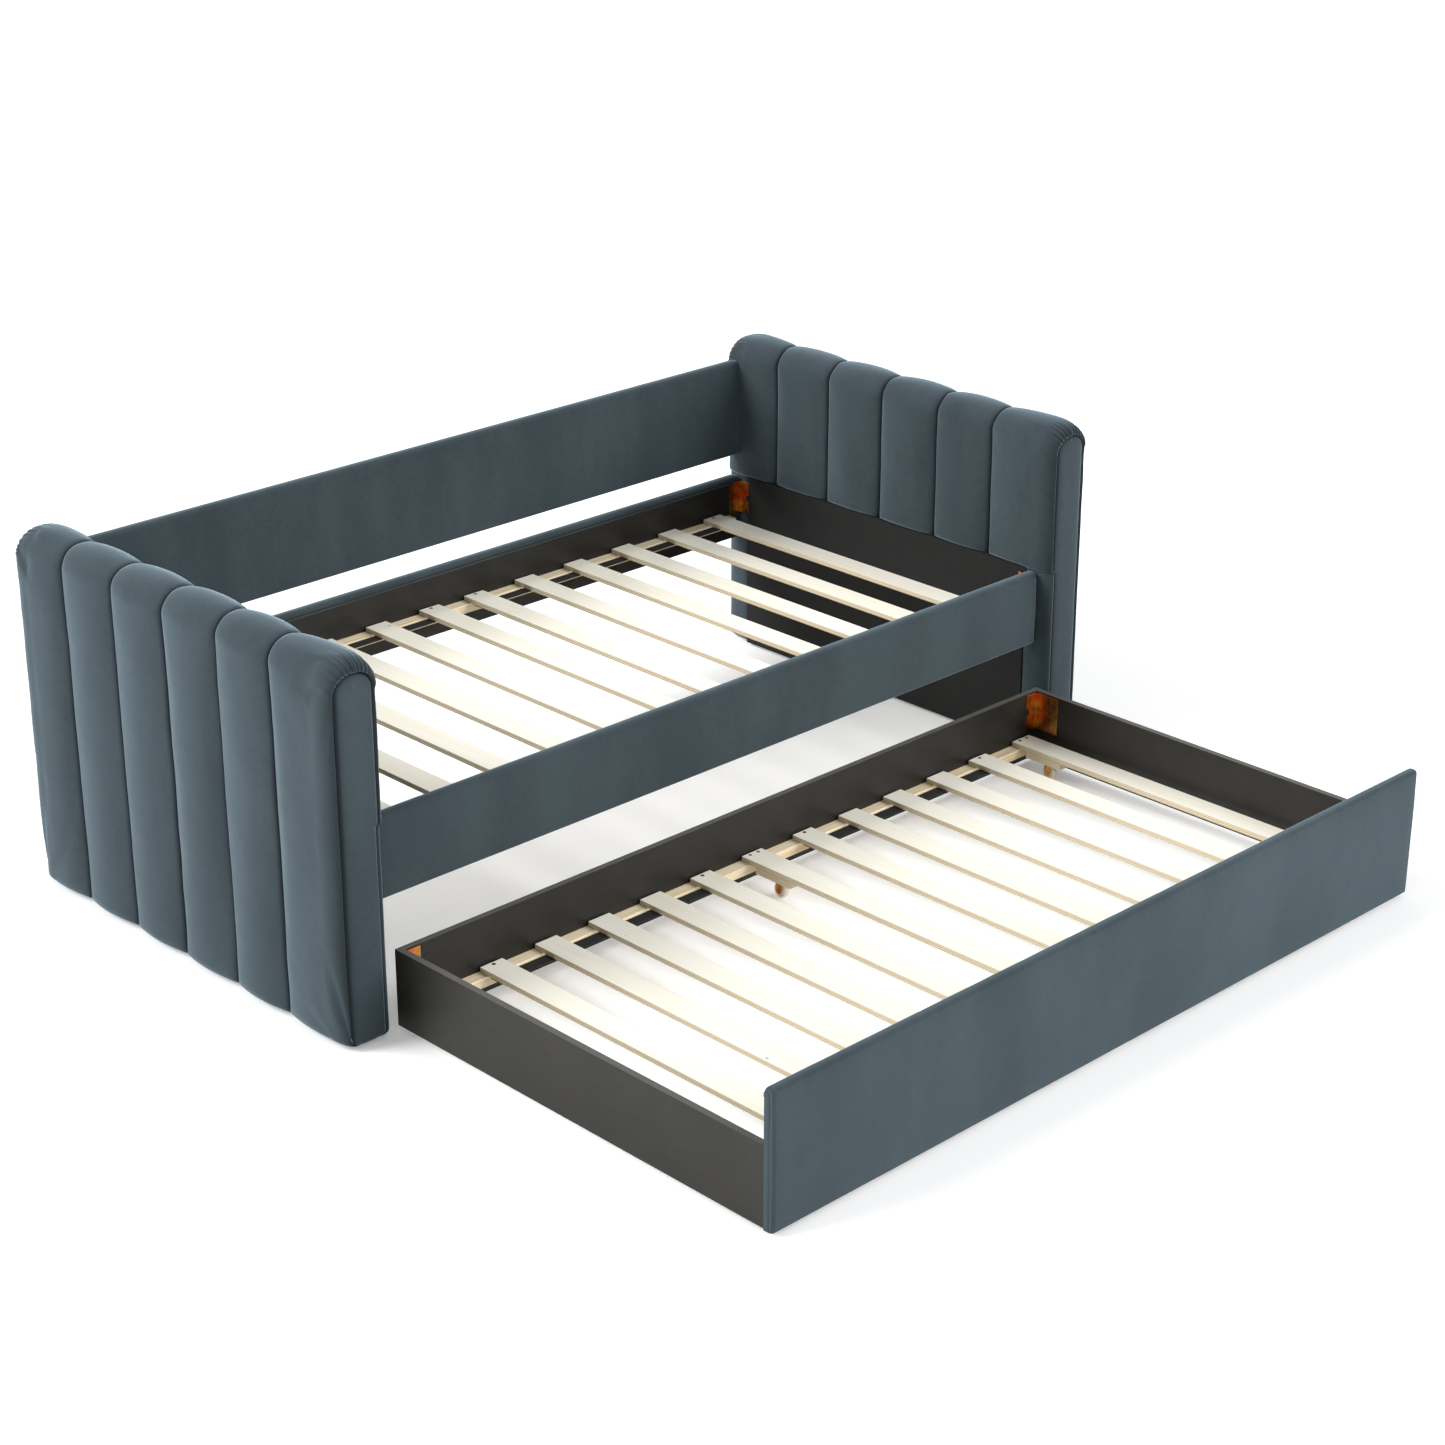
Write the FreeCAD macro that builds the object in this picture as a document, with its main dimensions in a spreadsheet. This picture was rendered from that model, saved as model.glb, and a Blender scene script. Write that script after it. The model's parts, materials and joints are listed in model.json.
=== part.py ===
import FreeCAD, Part
import math
import os
import Sketcher
from FreeCAD import Vector

# Trundle bed: an upholstered daybed and the low bed on casters that rolls out from under it.
# X runs along the beds, Y from front to back and Z up, in millimetres. The origin is on the
# floor, in the middle of the footprint with the trundle rolled out.

SIZES = {
    # overall
    "clear_length": 1983,  # between the inner faces of the arms
    "arm_depth": 1090,
    "arm_top": 826,
    "rail_top": 466,  # top of the front rail and the lower back rail
    # arms
    "arm_width": 122,
    "arm_top_radius": 50,
    "arm_edge_radius": 12,
    "foot_height": 8,
    "foot_radius": 14,
    "arm_outer_pad": 34,
    "arm_top_pad": 36,
    "arm_end_pad": 22,
    "post_depth": 70,
    "timber_height": 45,
    "lining_thickness": 16,
    "lining_strip": 75,  # upholstery left uncovered in front of and behind the lining
    # rails of the daybed
    "rail_thickness": 32,
    "rail_board": 18,
    "rail_pad": 7,
    "rail_top_radius": 10,
    "front_rail_recess": 33,
    "back_rail_recess": 19,
    "front_rail_height": 180,
    "lower_back_rail_height": 165,
    "back_gap": 58,  # between the two back rails
    "arm_rise": 54,  # of the arms over the upper back rail
    "bolt_radius": 4,
    "bolt_head_radius": 7,
    "bolt_head_height": 5,
    "bolt_length": 90,
    "bolt_inset": 45,
    # slats, ledgers and webbing
    "slat_drop": 88,  # from the top of the rails to the top of the slats
    "slat_width": 60,
    "slat_thickness": 12,
    "slat_end_gap": 4,
    "slat_screw_inset": 8,
    "ledger_width": 28,
    "ledger_height": 22,
    "ledger_end_gap": 45,
    "first_slat": 109,  # from the right arm to the middle of the nearest slat
    "last_slat": 147,
    "roll_gap": 137,
    "webbing_width": 28,
    "webbing_thickness": 1,
    "webbing_inset": 38,  # from the boards that the ledgers are on
    # screws and brackets
    "screw_radius": 2,
    "screw_head_radius": 4,
    "screw_head_height": 2,
    "slat_screw_length": 30,
    "board_screw_length": 13,
    "arm_screw_length": 32,
    "bracket_thickness": 2,
    "bracket_screw_edge": 12,
    "bracket_notch_radius": 8,
    "bracket_notch_inset": 3,
    "daybed_bracket_height": 84,
    "daybed_bracket_arm_leg": 30,
    "daybed_bracket_rail_leg": 42,
    "daybed_bracket_drop": 16,
    "trundle_bracket_height": 92,
    "trundle_bracket_side_leg": 68,
    "trundle_bracket_rear_leg": 36,
    "trundle_bracket_drop": 4,
    # trundle
    "trundle_side_gap": 14.5,  # on each side, between the arms
    "trundle_rear_gap": 28,  # behind it, to the rear of the arms, when it is rolled in
    "rolled_out_overlap": 12,  # of its rear end with the arms when it is rolled out
    "trundle_floor_gap": 12,
    "trundle_front_height": 293,
    "trundle_front_thickness": 24,
    "trundle_front_pad": 9,
    "trundle_end_pad": 4,
    "trundle_front_radius": 8,
    "trundle_board": 15,
    "trundle_board_inset": 4,
    "trundle_slat_drop": 106,
    "caster_slat_inset": 75,
    "roll_side_gap": 157,
    # casters
    "caster_inset": 94,
    "block_length": 105,
    "block_width": 56,
    "block_height": 17,
    "wheel_radius": 19,
    "wheel_width": 14,
    "wheel_top_gap": 7,
    "axle_radius": 3,
    "axle_clearance": 0.05,
    "axle_head_radius": 4.5,
    "axle_head_height": 1.5,
    "fork_thickness": 2,
    "fork_side_gap": 1.5,
    "fork_plate_length": 64,
    "fork_plate_width": 34,
    "fork_ear_radius": 9,
    "caster_screw_length": 12,
    "caster_screw_edge": 6,
}
DAYBED_ROLL = 6  # slats in each webbed roll of the daybed
TRUNDLE_ROLL = 5  # slats in each webbed roll of the trundle

doc = FreeCAD.newDocument("TrundleBed")
sheet = doc.addObject("Spreadsheet::Sheet", "sheet")
for row, (alias, size) in enumerate(SIZES.items(), start=1):
    sheet.set("A%d" % row, alias)
    sheet.set("B%d" % row, str(size))
    sheet.setAlias("B%d" % row, alias)
doc.recompute()

# Lengths and places worked out from the sheet. Y of the arms' front faces, and of the front of
# the trundle where it is rolled out, follow from the travel and the depth of the arms.
TRUNDLE_DEPTH = "(arm_depth - trundle_rear_gap)"
TRAVEL = "(%s - rolled_out_overlap)" % TRUNDLE_DEPTH
ARM_FRONT = "((%s - arm_depth) / 2)" % TRAVEL
ARM_REAR = "((%s + arm_depth) / 2)" % TRAVEL
FRONT = "(0 - (%s + arm_depth) / 2)" % TRAVEL
HALF = "(clear_length / 2)"
FRAME_WIDTH = "(arm_width - arm_outer_pad - lining_thickness)"
FRONT_RAIL_BACK = "(%s + front_rail_recess + rail_thickness)" % ARM_FRONT
BACK_RAIL_FRONT = "(%s - back_rail_recess - rail_thickness)" % ARM_REAR
SLAT_TOP = "(rail_top - slat_drop)"
UPPER_RAIL_LOW = "(rail_top + back_gap)"
UPPER_RAIL_HEIGHT = "(arm_top - arm_rise - rail_top - back_gap)"
TRUNDLE_LENGTH = "(clear_length - 2 * trundle_side_gap)"
TRUNDLE_HALF = "(%s / 2)" % TRUNDLE_LENGTH
BLOCK_LOW = "(2 * wheel_radius + wheel_top_gap + fork_thickness)"
CASTER_SLAT_LOW = "(%s + block_height)" % BLOCK_LOW
TRUNDLE_SLAT_TOP = "(%s + slat_thickness)" % CASTER_SLAT_LOW
TRUNDLE_TOP = "(%s + trundle_slat_drop)" % TRUNDLE_SLAT_TOP
TRUNDLE_SIDE_HEIGHT = "(%s - trundle_floor_gap)" % TRUNDLE_TOP
TRUNDLE_INNER_X = "(%s - trundle_board_inset - trundle_board)" % TRUNDLE_HALF
TRUNDLE_INNER_FRONT = "(%s + trundle_front_thickness)" % FRONT
TRUNDLE_INNER_REAR = "(%s + %s - trundle_board)" % (FRONT, TRUNDLE_DEPTH)

TURN = {
    "+Z": FreeCAD.Rotation(),
    "-Z": FreeCAD.Rotation(Vector(1, 0, 0), 180),
    "+X": FreeCAD.Rotation(Vector(0, 1, 0), 90),
    "-X": FreeCAD.Rotation(Vector(0, 1, 0), -90),
    "+Y": FreeCAD.Rotation(Vector(1, 0, 0), -90),
    "-Y": FreeCAD.Rotation(Vector(1, 0, 0), 90),
}
NODES = []


# ---- building blocks --------------------------------------------------------------------
def expression(text):
    """Text with each word that is an alias of the sheet turned into a reference to its cell."""
    words = []
    word = ""
    for letter in text + " ":
        if letter.isalnum() or letter in "_.":
            word += letter
            continue
        words.append("sheet." + word if word in SIZES else word)
        words.append(letter)
        word = ""
    return "".join(words).strip()


def value(text):
    """The number that an expression over the sheet comes to now."""
    return float(sheet.evalExpression(expression(text)))


def bind(obj, prop, text):
    obj.setExpression(prop, expression(text))


def place(obj, at):
    for axis, text in zip("xyz", at):
        bind(obj, "Placement.Base." + axis, text)


def box(name, size, at):
    """Block of the given size along X, Y and Z with its low corner at the given place."""
    obj = doc.addObject("Part::Box", name)
    for prop, text in zip(("Length", "Width", "Height"), size):
        bind(obj, prop, text)
    place(obj, at)
    return obj


def rod(name, radius, length, at, way):
    """Cylinder that starts at the given place and runs the given way, such as '+X'."""
    obj = doc.addObject("Part::Cylinder", name)
    bind(obj, "Radius", radius)
    bind(obj, "Height", length)
    obj.Placement = FreeCAD.Placement(Vector(), TURN[way])
    place(obj, at)
    return obj


def fuse(name, shapes):
    obj = doc.addObject("Part::MultiFuse", name)
    obj.Shapes = shapes
    return obj


def cut(name, base, tool):
    obj = doc.addObject("Part::Cut", name)
    obj.Base = base
    obj.Tool = tool
    return obj


def group(name, shapes):
    obj = doc.addObject("Part::Compound", name)
    obj.Links = shapes
    return obj


def node(obj, label):
    """Marks an object of the document as one sub-part of the bed."""
    obj.Label = label
    if obj.Label != label:
        raise RuntimeError("the label %s is taken" % label)
    NODES.append(obj)


def fastener(name, sizes, at, way):
    """Headed pin with its head's outer face at the given place; way is where it points.

    The sizes are the radius of the head, its height, the radius of the shank and its length.
    """
    head_radius, head_height, radius, length = sizes
    head = rod(name + "_head", head_radius, head_height, at, way)
    shank = rod(name + "_shank", radius, length, at, way)
    return fuse(name, [head, shank])


def screw(name, length, at, way):
    sizes = ("screw_head_radius", "screw_head_height", "screw_radius", length)
    return fastener(name, sizes, at, way)


def arched_outline(body, name, plane, width, height, radius):
    """Closed outline with two round top corners and its lower left corner on the origin."""
    sketch = body.newObject("Sketcher::SketchObject", name)
    origin = [part for part in body.Origin.OriginFeatures if part.Role == plane][0]
    sketch.AttachmentSupport = [(origin, "")]
    sketch.MapMode = "FlatFace"
    wide, high, bend = value(width), value(height), value(radius)
    up = Vector(0, 0, 1)
    right_bend = Part.Circle(Vector(wide - bend, high - bend), up, bend)
    left_bend = Part.Circle(Vector(bend, high - bend), up, bend)
    for edge in (
        Part.LineSegment(Vector(0, 0), Vector(wide, 0)),
        Part.LineSegment(Vector(wide, 0), Vector(wide, high - bend)),
        Part.ArcOfCircle(right_bend, 0, math.pi / 2),
        Part.LineSegment(Vector(wide - bend, high), Vector(bend, high)),
        Part.ArcOfCircle(left_bend, math.pi / 2, math.pi),
        Part.LineSegment(Vector(0, high - bend), Vector(0, 0)),
    ):
        sketch.addGeometry(edge)
    base, right, right_arc, top, left_arc, left = range(6)
    start, end, origin_point = 1, 2, -1
    for rule in (
        ("Coincident", base, start, origin_point, start),
        ("Coincident", base, end, right, start),
        ("Tangent", right, end, right_arc, start),
        ("Tangent", right_arc, end, top, start),
        ("Tangent", top, end, left_arc, start),
        ("Tangent", left_arc, end, left, start),
        ("Coincident", left, end, base, start),
        ("Horizontal", base),
        ("Horizontal", top),
        ("Vertical", right),
        ("Vertical", left),
        ("Equal", right_arc, left_arc),
    ):
        sketch.addConstraint(Sketcher.Constraint(*rule))
    for tag, rule, text in (
        ("wide", ("DistanceX", base, start, base, end, wide), width),
        ("high", ("DistanceY", base, start, top, start, high), height),
        ("bend", ("Radius", right_arc, bend), radius),
    ):
        index = sketch.addConstraint(Sketcher.Constraint(*rule))
        sketch.renameConstraint(index, tag)
        bind(sketch, "Constraints." + tag, text)
    sketch.Visibility = False
    return sketch


def arched_body(name, plane, section, length, at):
    """Body padded from an arched outline: along +X from the YZ plane, along +Y from the XZ."""
    body = doc.addObject("PartDesign::Body", name)
    pad = body.newObject("PartDesign::Pad", name + "_pad")
    pad.Profile = arched_outline(body, name + "_outline", plane, *section)
    bind(pad, "Length", length)
    pad.Reversed = plane == "XZ_Plane"
    place(body, at)
    return body


# ---- arms -------------------------------------------------------------------------------
def arm_x(side, start, width):
    """Low X of a piece that starts this far in from the outer face of an arm, -1 or 1."""
    if side < 0:
        return "0 - %s - arm_width + %s" % (HALF, start)
    return "%s + arm_width - (%s) - (%s)" % (HALF, start, width)


def round_ends(body, name, depth):
    """Rounds the edges of both upright end faces of an arm, except along the floor."""
    doc.recompute()
    pad = body.Tip
    rims = []
    for number, edge in enumerate(pad.Shape.Edges, start=1):
        low, high = edge.BoundBox.YMin, edge.BoundBox.YMax
        on_end = high - low < 1e-6 and min(abs(low), abs(low - depth)) < 1e-6
        if on_end and edge.BoundBox.ZMax > 1e-6:
            rims.append("Edge%d" % number)
    fillet = body.newObject("PartDesign::Fillet", name)
    fillet.Base = (pad, rims)
    bind(fillet, "Radius", "arm_edge_radius")


def arm(tag, side):
    """Padded cover, lining board, timber frame and feet of one arm."""
    section = ("arm_width", "arm_top - foot_height", "arm_top_radius")
    low_corner = (arm_x(side, "0", "arm_width"), ARM_FRONT, "foot_height")
    padding = arched_body(tag + "_arm_padding", "XZ_Plane", section, "arm_depth", low_corner)
    round_ends(padding, tag + "_arm_edges", value("arm_depth"))
    frame_x = arm_x(side, "arm_outer_pad", FRAME_WIDTH)
    frame_front = ARM_FRONT + " + arm_end_pad"
    frame_height = "arm_top - foot_height - arm_top_pad"
    hollow = box(
        tag + "_arm_hollow",
        (FRAME_WIDTH, "arm_depth - 2 * arm_end_pad", frame_height),
        (frame_x, frame_front, "foot_height"),
    )
    lining = box(
        tag + "_lining_blank",
        ("lining_thickness", "arm_depth - 2 * lining_strip", "rail_top - foot_height"),
        (
            arm_x(side, "arm_width - lining_thickness", "lining_thickness"),
            ARM_FRONT + " + lining_strip",
            "foot_height",
        ),
    )
    cavity = fuse(tag + "_arm_cavity", [hollow, lining])
    posts = []
    feet = []
    for end, post_y in (
        ("front", frame_front),
        ("rear", ARM_REAR + " - arm_end_pad - post_depth"),
    ):
        name = "%s_%s" % (tag, end)
        size = (FRAME_WIDTH, "post_depth", frame_height)
        posts.append(box(name + "_post", size, (frame_x, post_y, "foot_height")))
        middle = (frame_x + " + %s / 2" % FRAME_WIDTH, post_y + " + post_depth / 2", "0")
        feet.append(rod(name + "_foot", "foot_radius", "foot_height", middle, "+Z"))
    rails = []
    for level, z in (
        ("low", "foot_height"),
        ("middle", "rail_top - timber_height"),
        ("high", "arm_top - arm_top_pad - timber_height"),
    ):
        size = (
            FRAME_WIDTH,
            "arm_depth - 2 * arm_end_pad - 2 * post_depth",
            "timber_height",
        )
        at = (frame_x, frame_front + " + post_depth", z)
        rails.append(box("%s_arm_%s_rail" % (tag, level), size, at))
    return {
        "cover": cut(tag + "_cover_blank", padding, cavity),
        "lining": lining,
        "posts": group(tag + "_posts_blank", posts),
        "rails": group(tag + "_rails_group", rails),
        "feet": group(tag + "_feet_group", feet),
    }


# ---- rails ------------------------------------------------------------------------------
def rail(tag, y, z, height, board_start):
    """Padded cover and board of a rail; the board starts this far behind its front face."""
    section = ("rail_thickness", height, "rail_top_radius")
    low_corner = ("0 - " + HALF, y, z)
    padding = arched_body(tag + "_padding", "YZ_Plane", section, "clear_length", low_corner)
    board = box(
        tag + "_blank",
        ("clear_length", "rail_board", height + " - rail_top_radius"),
        ("0 - " + HALF, "%s + %s" % (y, board_start), z),
    )
    return cut(tag + "_cover_cut", padding, board), board


def back_bolts():
    """Bolts through the rear posts of the arms into the ends of the upper back rail."""
    bolts = []
    sizes = ("bolt_head_radius", "bolt_head_height", "bolt_radius", "bolt_length")
    start = "(%s + lining_thickness + %s / 2)" % (HALF, FRAME_WIDTH)
    y = BACK_RAIL_FRONT + " + rail_pad + rail_board / 2"
    for tag, x, way in (("left", "0 - " + start, "+X"), ("right", start, "-X")):
        for level, z in (
            ("low", UPPER_RAIL_LOW + " + bolt_inset"),
            ("high", "arm_top - arm_rise - bolt_inset"),
        ):
            bolts.append(fastener("back_bolt_%s_%s" % (tag, level), sizes, (x, y, z), way))
    return group("back_bolts", bolts)


# ---- slats ------------------------------------------------------------------------------
class SlatBase:
    """Ledgers, slats, webbing and screws between a front wall and a rear wall."""

    def __init__(self, tag, front, rear, top, half_length):
        self.tag = tag
        self.front = front
        self.rear = rear
        self.top = top
        self.half_length = half_length
        self.screws = []

    def ledger(self, name, y):
        low_x = "0 - %s + ledger_end_gap" % self.half_length
        size = ("2 * %s - 2 * ledger_end_gap" % self.half_length, "ledger_width", "ledger_height")
        z = self.top + " - slat_thickness - ledger_height"
        return box("%s_%s_strip" % (self.tag, name), size, (low_x, y, z))

    def ledgers(self):
        return {
            "front": self.ledger("front", self.front),
            "rear": self.ledger("rear", self.rear + " - ledger_width"),
        }

    def slat(self, name, middle, screw_offsets):
        """One slat across the bed, with screws through both ends at these offsets along X."""
        name = "%s_slat_%s" % (self.tag, name)
        inset = "slat_end_gap + slat_screw_inset"
        for end, y in (
            ("front", "%s + %s" % (self.front, inset)),
            ("rear", "%s - (%s)" % (self.rear, inset)),
        ):
            for number, offset in enumerate(screw_offsets):
                at = ("%s + (%s)" % (middle, offset), y, self.top)
                screw_name = "%s_screw_%s_%d" % (name, end, number)
                self.screws.append(screw(screw_name, "slat_screw_length", at, "-Z"))
        size = (
            "slat_width",
            "%s - %s - 2 * slat_end_gap" % (self.rear, self.front),
            "slat_thickness",
        )
        at = (
            middle + " - slat_width / 2",
            self.front + " + slat_end_gap",
            self.top + " - slat_thickness",
        )
        return box(name, size, at)

    def roll(self, tag, first, pitch, count):
        """Slats at even pitch towards -X, the first and last screwed, on two straps.

        The straps lie under the slats, inside the ledgers.
        """
        slats = []
        for i in range(count):
            offsets = ["0"] if i in (0, count - 1) else []
            middle = "%s - %d * %s" % (first, i, pitch)
            slats.append(self.slat("%s_%d" % (tag, i), middle, offsets))
        span = "%d * %s" % (count - 1, pitch)
        size = (span + " + slat_width", "webbing_width", "webbing_thickness")
        low_x = "%s - %s - slat_width / 2" % (first, span)
        z = self.top + " - slat_thickness - webbing_thickness"
        straps = []
        for end, y in (
            ("front", self.front + " + webbing_inset"),
            ("rear", self.rear + " - webbing_inset - webbing_width"),
        ):
            straps.append(box("%s_strap_%s_%s" % (self.tag, tag, end), size, (low_x, y, z)))
        name = "%s_%s" % (self.tag, tag)
        return group(name + "_roll", slats), group(name + "_straps", straps)


# ---- corner brackets --------------------------------------------------------------------
def bracket(name, corner, ways, legs, lengths, notched, top, height):
    """Bent plate in an inner corner, with two screws into each of the walls that meet there.

    The corner, ways, legs and screw lengths are pairs for X and Y: the place of the corner, the
    sign of the way each leg runs, the length of each leg and of the screws through it. The
    free edge of the leg along X, 0, or Y, 1, has a round notch at half height.
    """
    low_z = "%s - %s" % (top, height)
    thick = "bracket_thickness"
    plates = []
    screws = []
    for along in (0, 1):
        across = 1 - along
        size = [None, None, height]
        at = [None, None, low_z]
        for axis, reach in ((along, legs[along]), (across, thick)):
            size[axis] = reach
            at[axis] = corner[axis] if ways[axis] > 0 else "%s - %s" % (corner[axis], reach)
        plates.append(box("%s_leg_%d" % (name, along), size, at))
        sign = "-+"[ways[along] > 0]
        face_sign = "-+"[ways[across] > 0]
        into_wall = "+-"[ways[across] > 0] + "XY"[across]
        for level, z in (
            ("high", top + " - bracket_screw_edge"),
            ("low", low_z + " + bracket_screw_edge"),
        ):
            spot = [None, None, z]
            spot[along] = "%s %s (%s - bracket_screw_edge)" % (corner[along], sign, legs[along])
            spot[across] = "%s %s %s" % (corner[across], face_sign, thick)
            screw_name = "%s_%s_screw_%d" % (name, level, along)
            screws.append(screw(screw_name, lengths[along], spot, into_wall))
        if along == notched:
            centre = [None, None, "%s + %s / 2" % (low_z, height)]
            reach = "(%s - bracket_notch_inset)" % legs[along]
            centre[along] = "%s %s %s" % (corner[along], sign, reach)
            centre[across] = "%s - 2 * %s" % (corner[across], thick)
            length = "4 * " + thick
            notch = rod(name + "_notch", "bracket_notch_radius", length, centre, "+" + "XY"[across])
    return cut(name, fuse(name + "_blank", plates), notch), screws


def corner_brackets(tag, half_x, front, rear, legs, lengths, notched, top, height):
    """A bracket in each of the four inner corners of a bed."""
    plates = []
    screws = []
    for x_tag, x, x_way in (("left", "0 - " + half_x, 1), ("right", half_x, -1)):
        for y_tag, y, y_way in (("front", front, 1), ("rear", rear, -1)):
            name = "%s_bracket_%s_%s" % (tag, x_tag, y_tag)
            made = bracket(name, (x, y), (x_way, y_way), legs, lengths, notched, top, height)
            plates.append(made[0])
            screws += made[1]
    return group(tag + "_plates", plates), group(tag + "_plate_screws", screws)


# ---- casters ----------------------------------------------------------------------------
def caster(tag, x, y):
    """Mounting block, fork with its screws, axle and wheel of one fixed caster."""
    block = box(
        "block_" + tag,
        ("block_width", "block_length", "block_height"),
        (x + " - block_width / 2", y + " - block_length / 2", BLOCK_LOW),
    )
    plate = box(
        "plate_" + tag,
        ("fork_plate_width", "fork_plate_length", "fork_thickness"),
        (
            x + " - fork_plate_width / 2",
            y + " - fork_plate_length / 2",
            BLOCK_LOW + " - fork_thickness",
        ),
    )
    centre = "wheel_radius"
    fork_parts = [plate]
    half_gap = "(wheel_width / 2 + fork_side_gap)"
    for side, low_x in (
        ("right", "%s + %s" % (x, half_gap)),
        ("left", "%s - %s - fork_thickness" % (x, half_gap)),
    ):
        web_size = ("fork_thickness", "2 * fork_ear_radius", BLOCK_LOW + " - wheel_radius")
        web_at = (low_x, y + " - fork_ear_radius", centre)
        fork_parts.append(box("web_%s_%s" % (side, tag), web_size, web_at))
        name = "ear_%s_%s" % (side, tag)
        at = (low_x, y, centre)
        fork_parts.append(rod(name, "fork_ear_radius", "fork_thickness", at, "+X"))
    reach = "(wheel_width + 2 * fork_side_gap + 2 * fork_thickness)"
    left_end = "%s - %s / 2" % (x, reach)
    right_end = "%s + %s / 2" % (x, reach)
    axle_parts = [rod("pin_" + tag, "axle_radius", reach, (left_end, y, centre), "+X")]
    for side, end, way in (("left", left_end, "-X"), ("right", right_end, "+X")):
        name = "axle_head_%s_%s" % (side, tag)
        at = (end, y, centre)
        axle_parts.append(rod(name, "axle_head_radius", "axle_head_height", at, way))
    axle = fuse("axle_" + tag, axle_parts)
    screws = []
    for number, (x_sign, y_sign) in enumerate((("+", "+"), ("+", "-"), ("-", "+"), ("-", "-"))):
        at = (
            "%s %s (fork_plate_width / 2 - caster_screw_edge)" % (x, x_sign),
            "%s %s (fork_plate_length / 2 - caster_screw_edge)" % (y, y_sign),
            BLOCK_LOW + " - fork_thickness",
        )
        name = "caster_screw_%s_%d" % (tag, number)
        screws.append(screw(name, "caster_screw_length", at, "+Z"))
    wheel_at = (x + " - wheel_width / 2", y, centre)
    disc = rod("disc_" + tag, "wheel_radius", "wheel_width", wheel_at, "+X")
    bore = rod("bore_" + tag, "axle_radius + axle_clearance", "wheel_width", wheel_at, "+X")
    return {
        "block": block,
        "fork": cut("fork_" + tag, fuse("fork_blank_" + tag, fork_parts), axle),
        "axle": axle,
        "screws": screws,
        "wheel": cut("wheel_" + tag, disc, bore),
    }


# ---- daybed -----------------------------------------------------------------------------
arms = {"left": arm("left", -1), "right": arm("right", 1)}
bolts = back_bolts()
FRONT_RAIL_Y = ARM_FRONT + " + front_rail_recess"
BEHIND_PAD = "rail_thickness - rail_board"
front_cover, front_board = rail(
    "front_rail", FRONT_RAIL_Y, "rail_top - front_rail_height", "front_rail_height", BEHIND_PAD
)
lower_cover, lower_board = rail(
    "lower_rail",
    BACK_RAIL_FRONT,
    "rail_top - lower_back_rail_height",
    "lower_back_rail_height",
    "0",
)
upper_cover, upper_board = rail(
    "upper_rail", BACK_RAIL_FRONT, UPPER_RAIL_LOW, UPPER_RAIL_HEIGHT, "rail_pad"
)
daybed = SlatBase("daybed", FRONT_RAIL_BACK, BACK_RAIL_FRONT, SLAT_TOP, HALF)
daybed_ledgers = daybed.ledgers()
steps = 2 * (DAYBED_ROLL - 1)
DAYBED_PITCH = "((clear_length - first_slat - last_slat - roll_gap) / %d)" % steps
FIRST_RIGHT = "(%s - first_slat)" % HALF
FIRST_LEFT = "(%s - %d * %s - roll_gap)" % (FIRST_RIGHT, DAYBED_ROLL - 1, DAYBED_PITCH)
daybed_rolls = {
    "right": daybed.roll("right", FIRST_RIGHT, DAYBED_PITCH, DAYBED_ROLL),
    "left": daybed.roll("left", FIRST_LEFT, DAYBED_PITCH, DAYBED_ROLL),
}
daybed_screws = group("daybed_slat_screw_group", daybed.screws)
daybed_plates, daybed_plate_screws = corner_brackets(
    "daybed",
    HALF,
    FRONT_RAIL_BACK,
    BACK_RAIL_FRONT,
    ("daybed_bracket_rail_leg", "daybed_bracket_arm_leg"),
    ("board_screw_length", "arm_screw_length"),
    1,
    "rail_top - daybed_bracket_drop",
    "daybed_bracket_height",
)

# A piece that fasteners pass through is its blank with those fasteners cut out of it.
for tag in ("left", "right"):
    made = arms[tag]
    holes = group(tag + "_arm_fasteners", [bolts, daybed_plate_screws])
    node(cut(tag + "_cover_done", made["cover"], holes), tag + "_arm_cover")
    node(cut(tag + "_lining_done", made["lining"], daybed_plate_screws), tag + "_arm_lining")
    node(cut(tag + "_posts_done", made["posts"], holes), tag + "_arm_posts")
    node(made["rails"], tag + "_arm_rails")
    node(made["feet"], tag + "_arm_feet")
node(front_cover, "front_rail_cover")
node(cut("front_rail_done", front_board, daybed_plate_screws), "front_rail_board")
node(lower_cover, "lower_back_rail_cover")
node(cut("lower_rail_done", lower_board, daybed_plate_screws), "lower_back_rail_board")
node(upper_cover, "upper_back_rail_cover")
node(cut("upper_rail_done", upper_board, bolts), "upper_back_rail_board")
node(bolts, "back_rail_bolts")
for end, strip in daybed_ledgers.items():
    node(cut("daybed_%s_strip_done" % end, strip, daybed_screws), "daybed_%s_ledger" % end)
for tag, (slats, straps) in daybed_rolls.items():
    node(cut("daybed_%s_roll_done" % tag, slats, daybed_screws), "daybed_slats_" + tag)
    node(straps, "daybed_webbing_" + tag)
node(daybed_screws, "daybed_slat_screws")
node(cut("daybed_plates_done", daybed_plates, daybed_plate_screws), "daybed_corner_brackets")
node(daybed_plate_screws, "daybed_bracket_screws")

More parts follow.
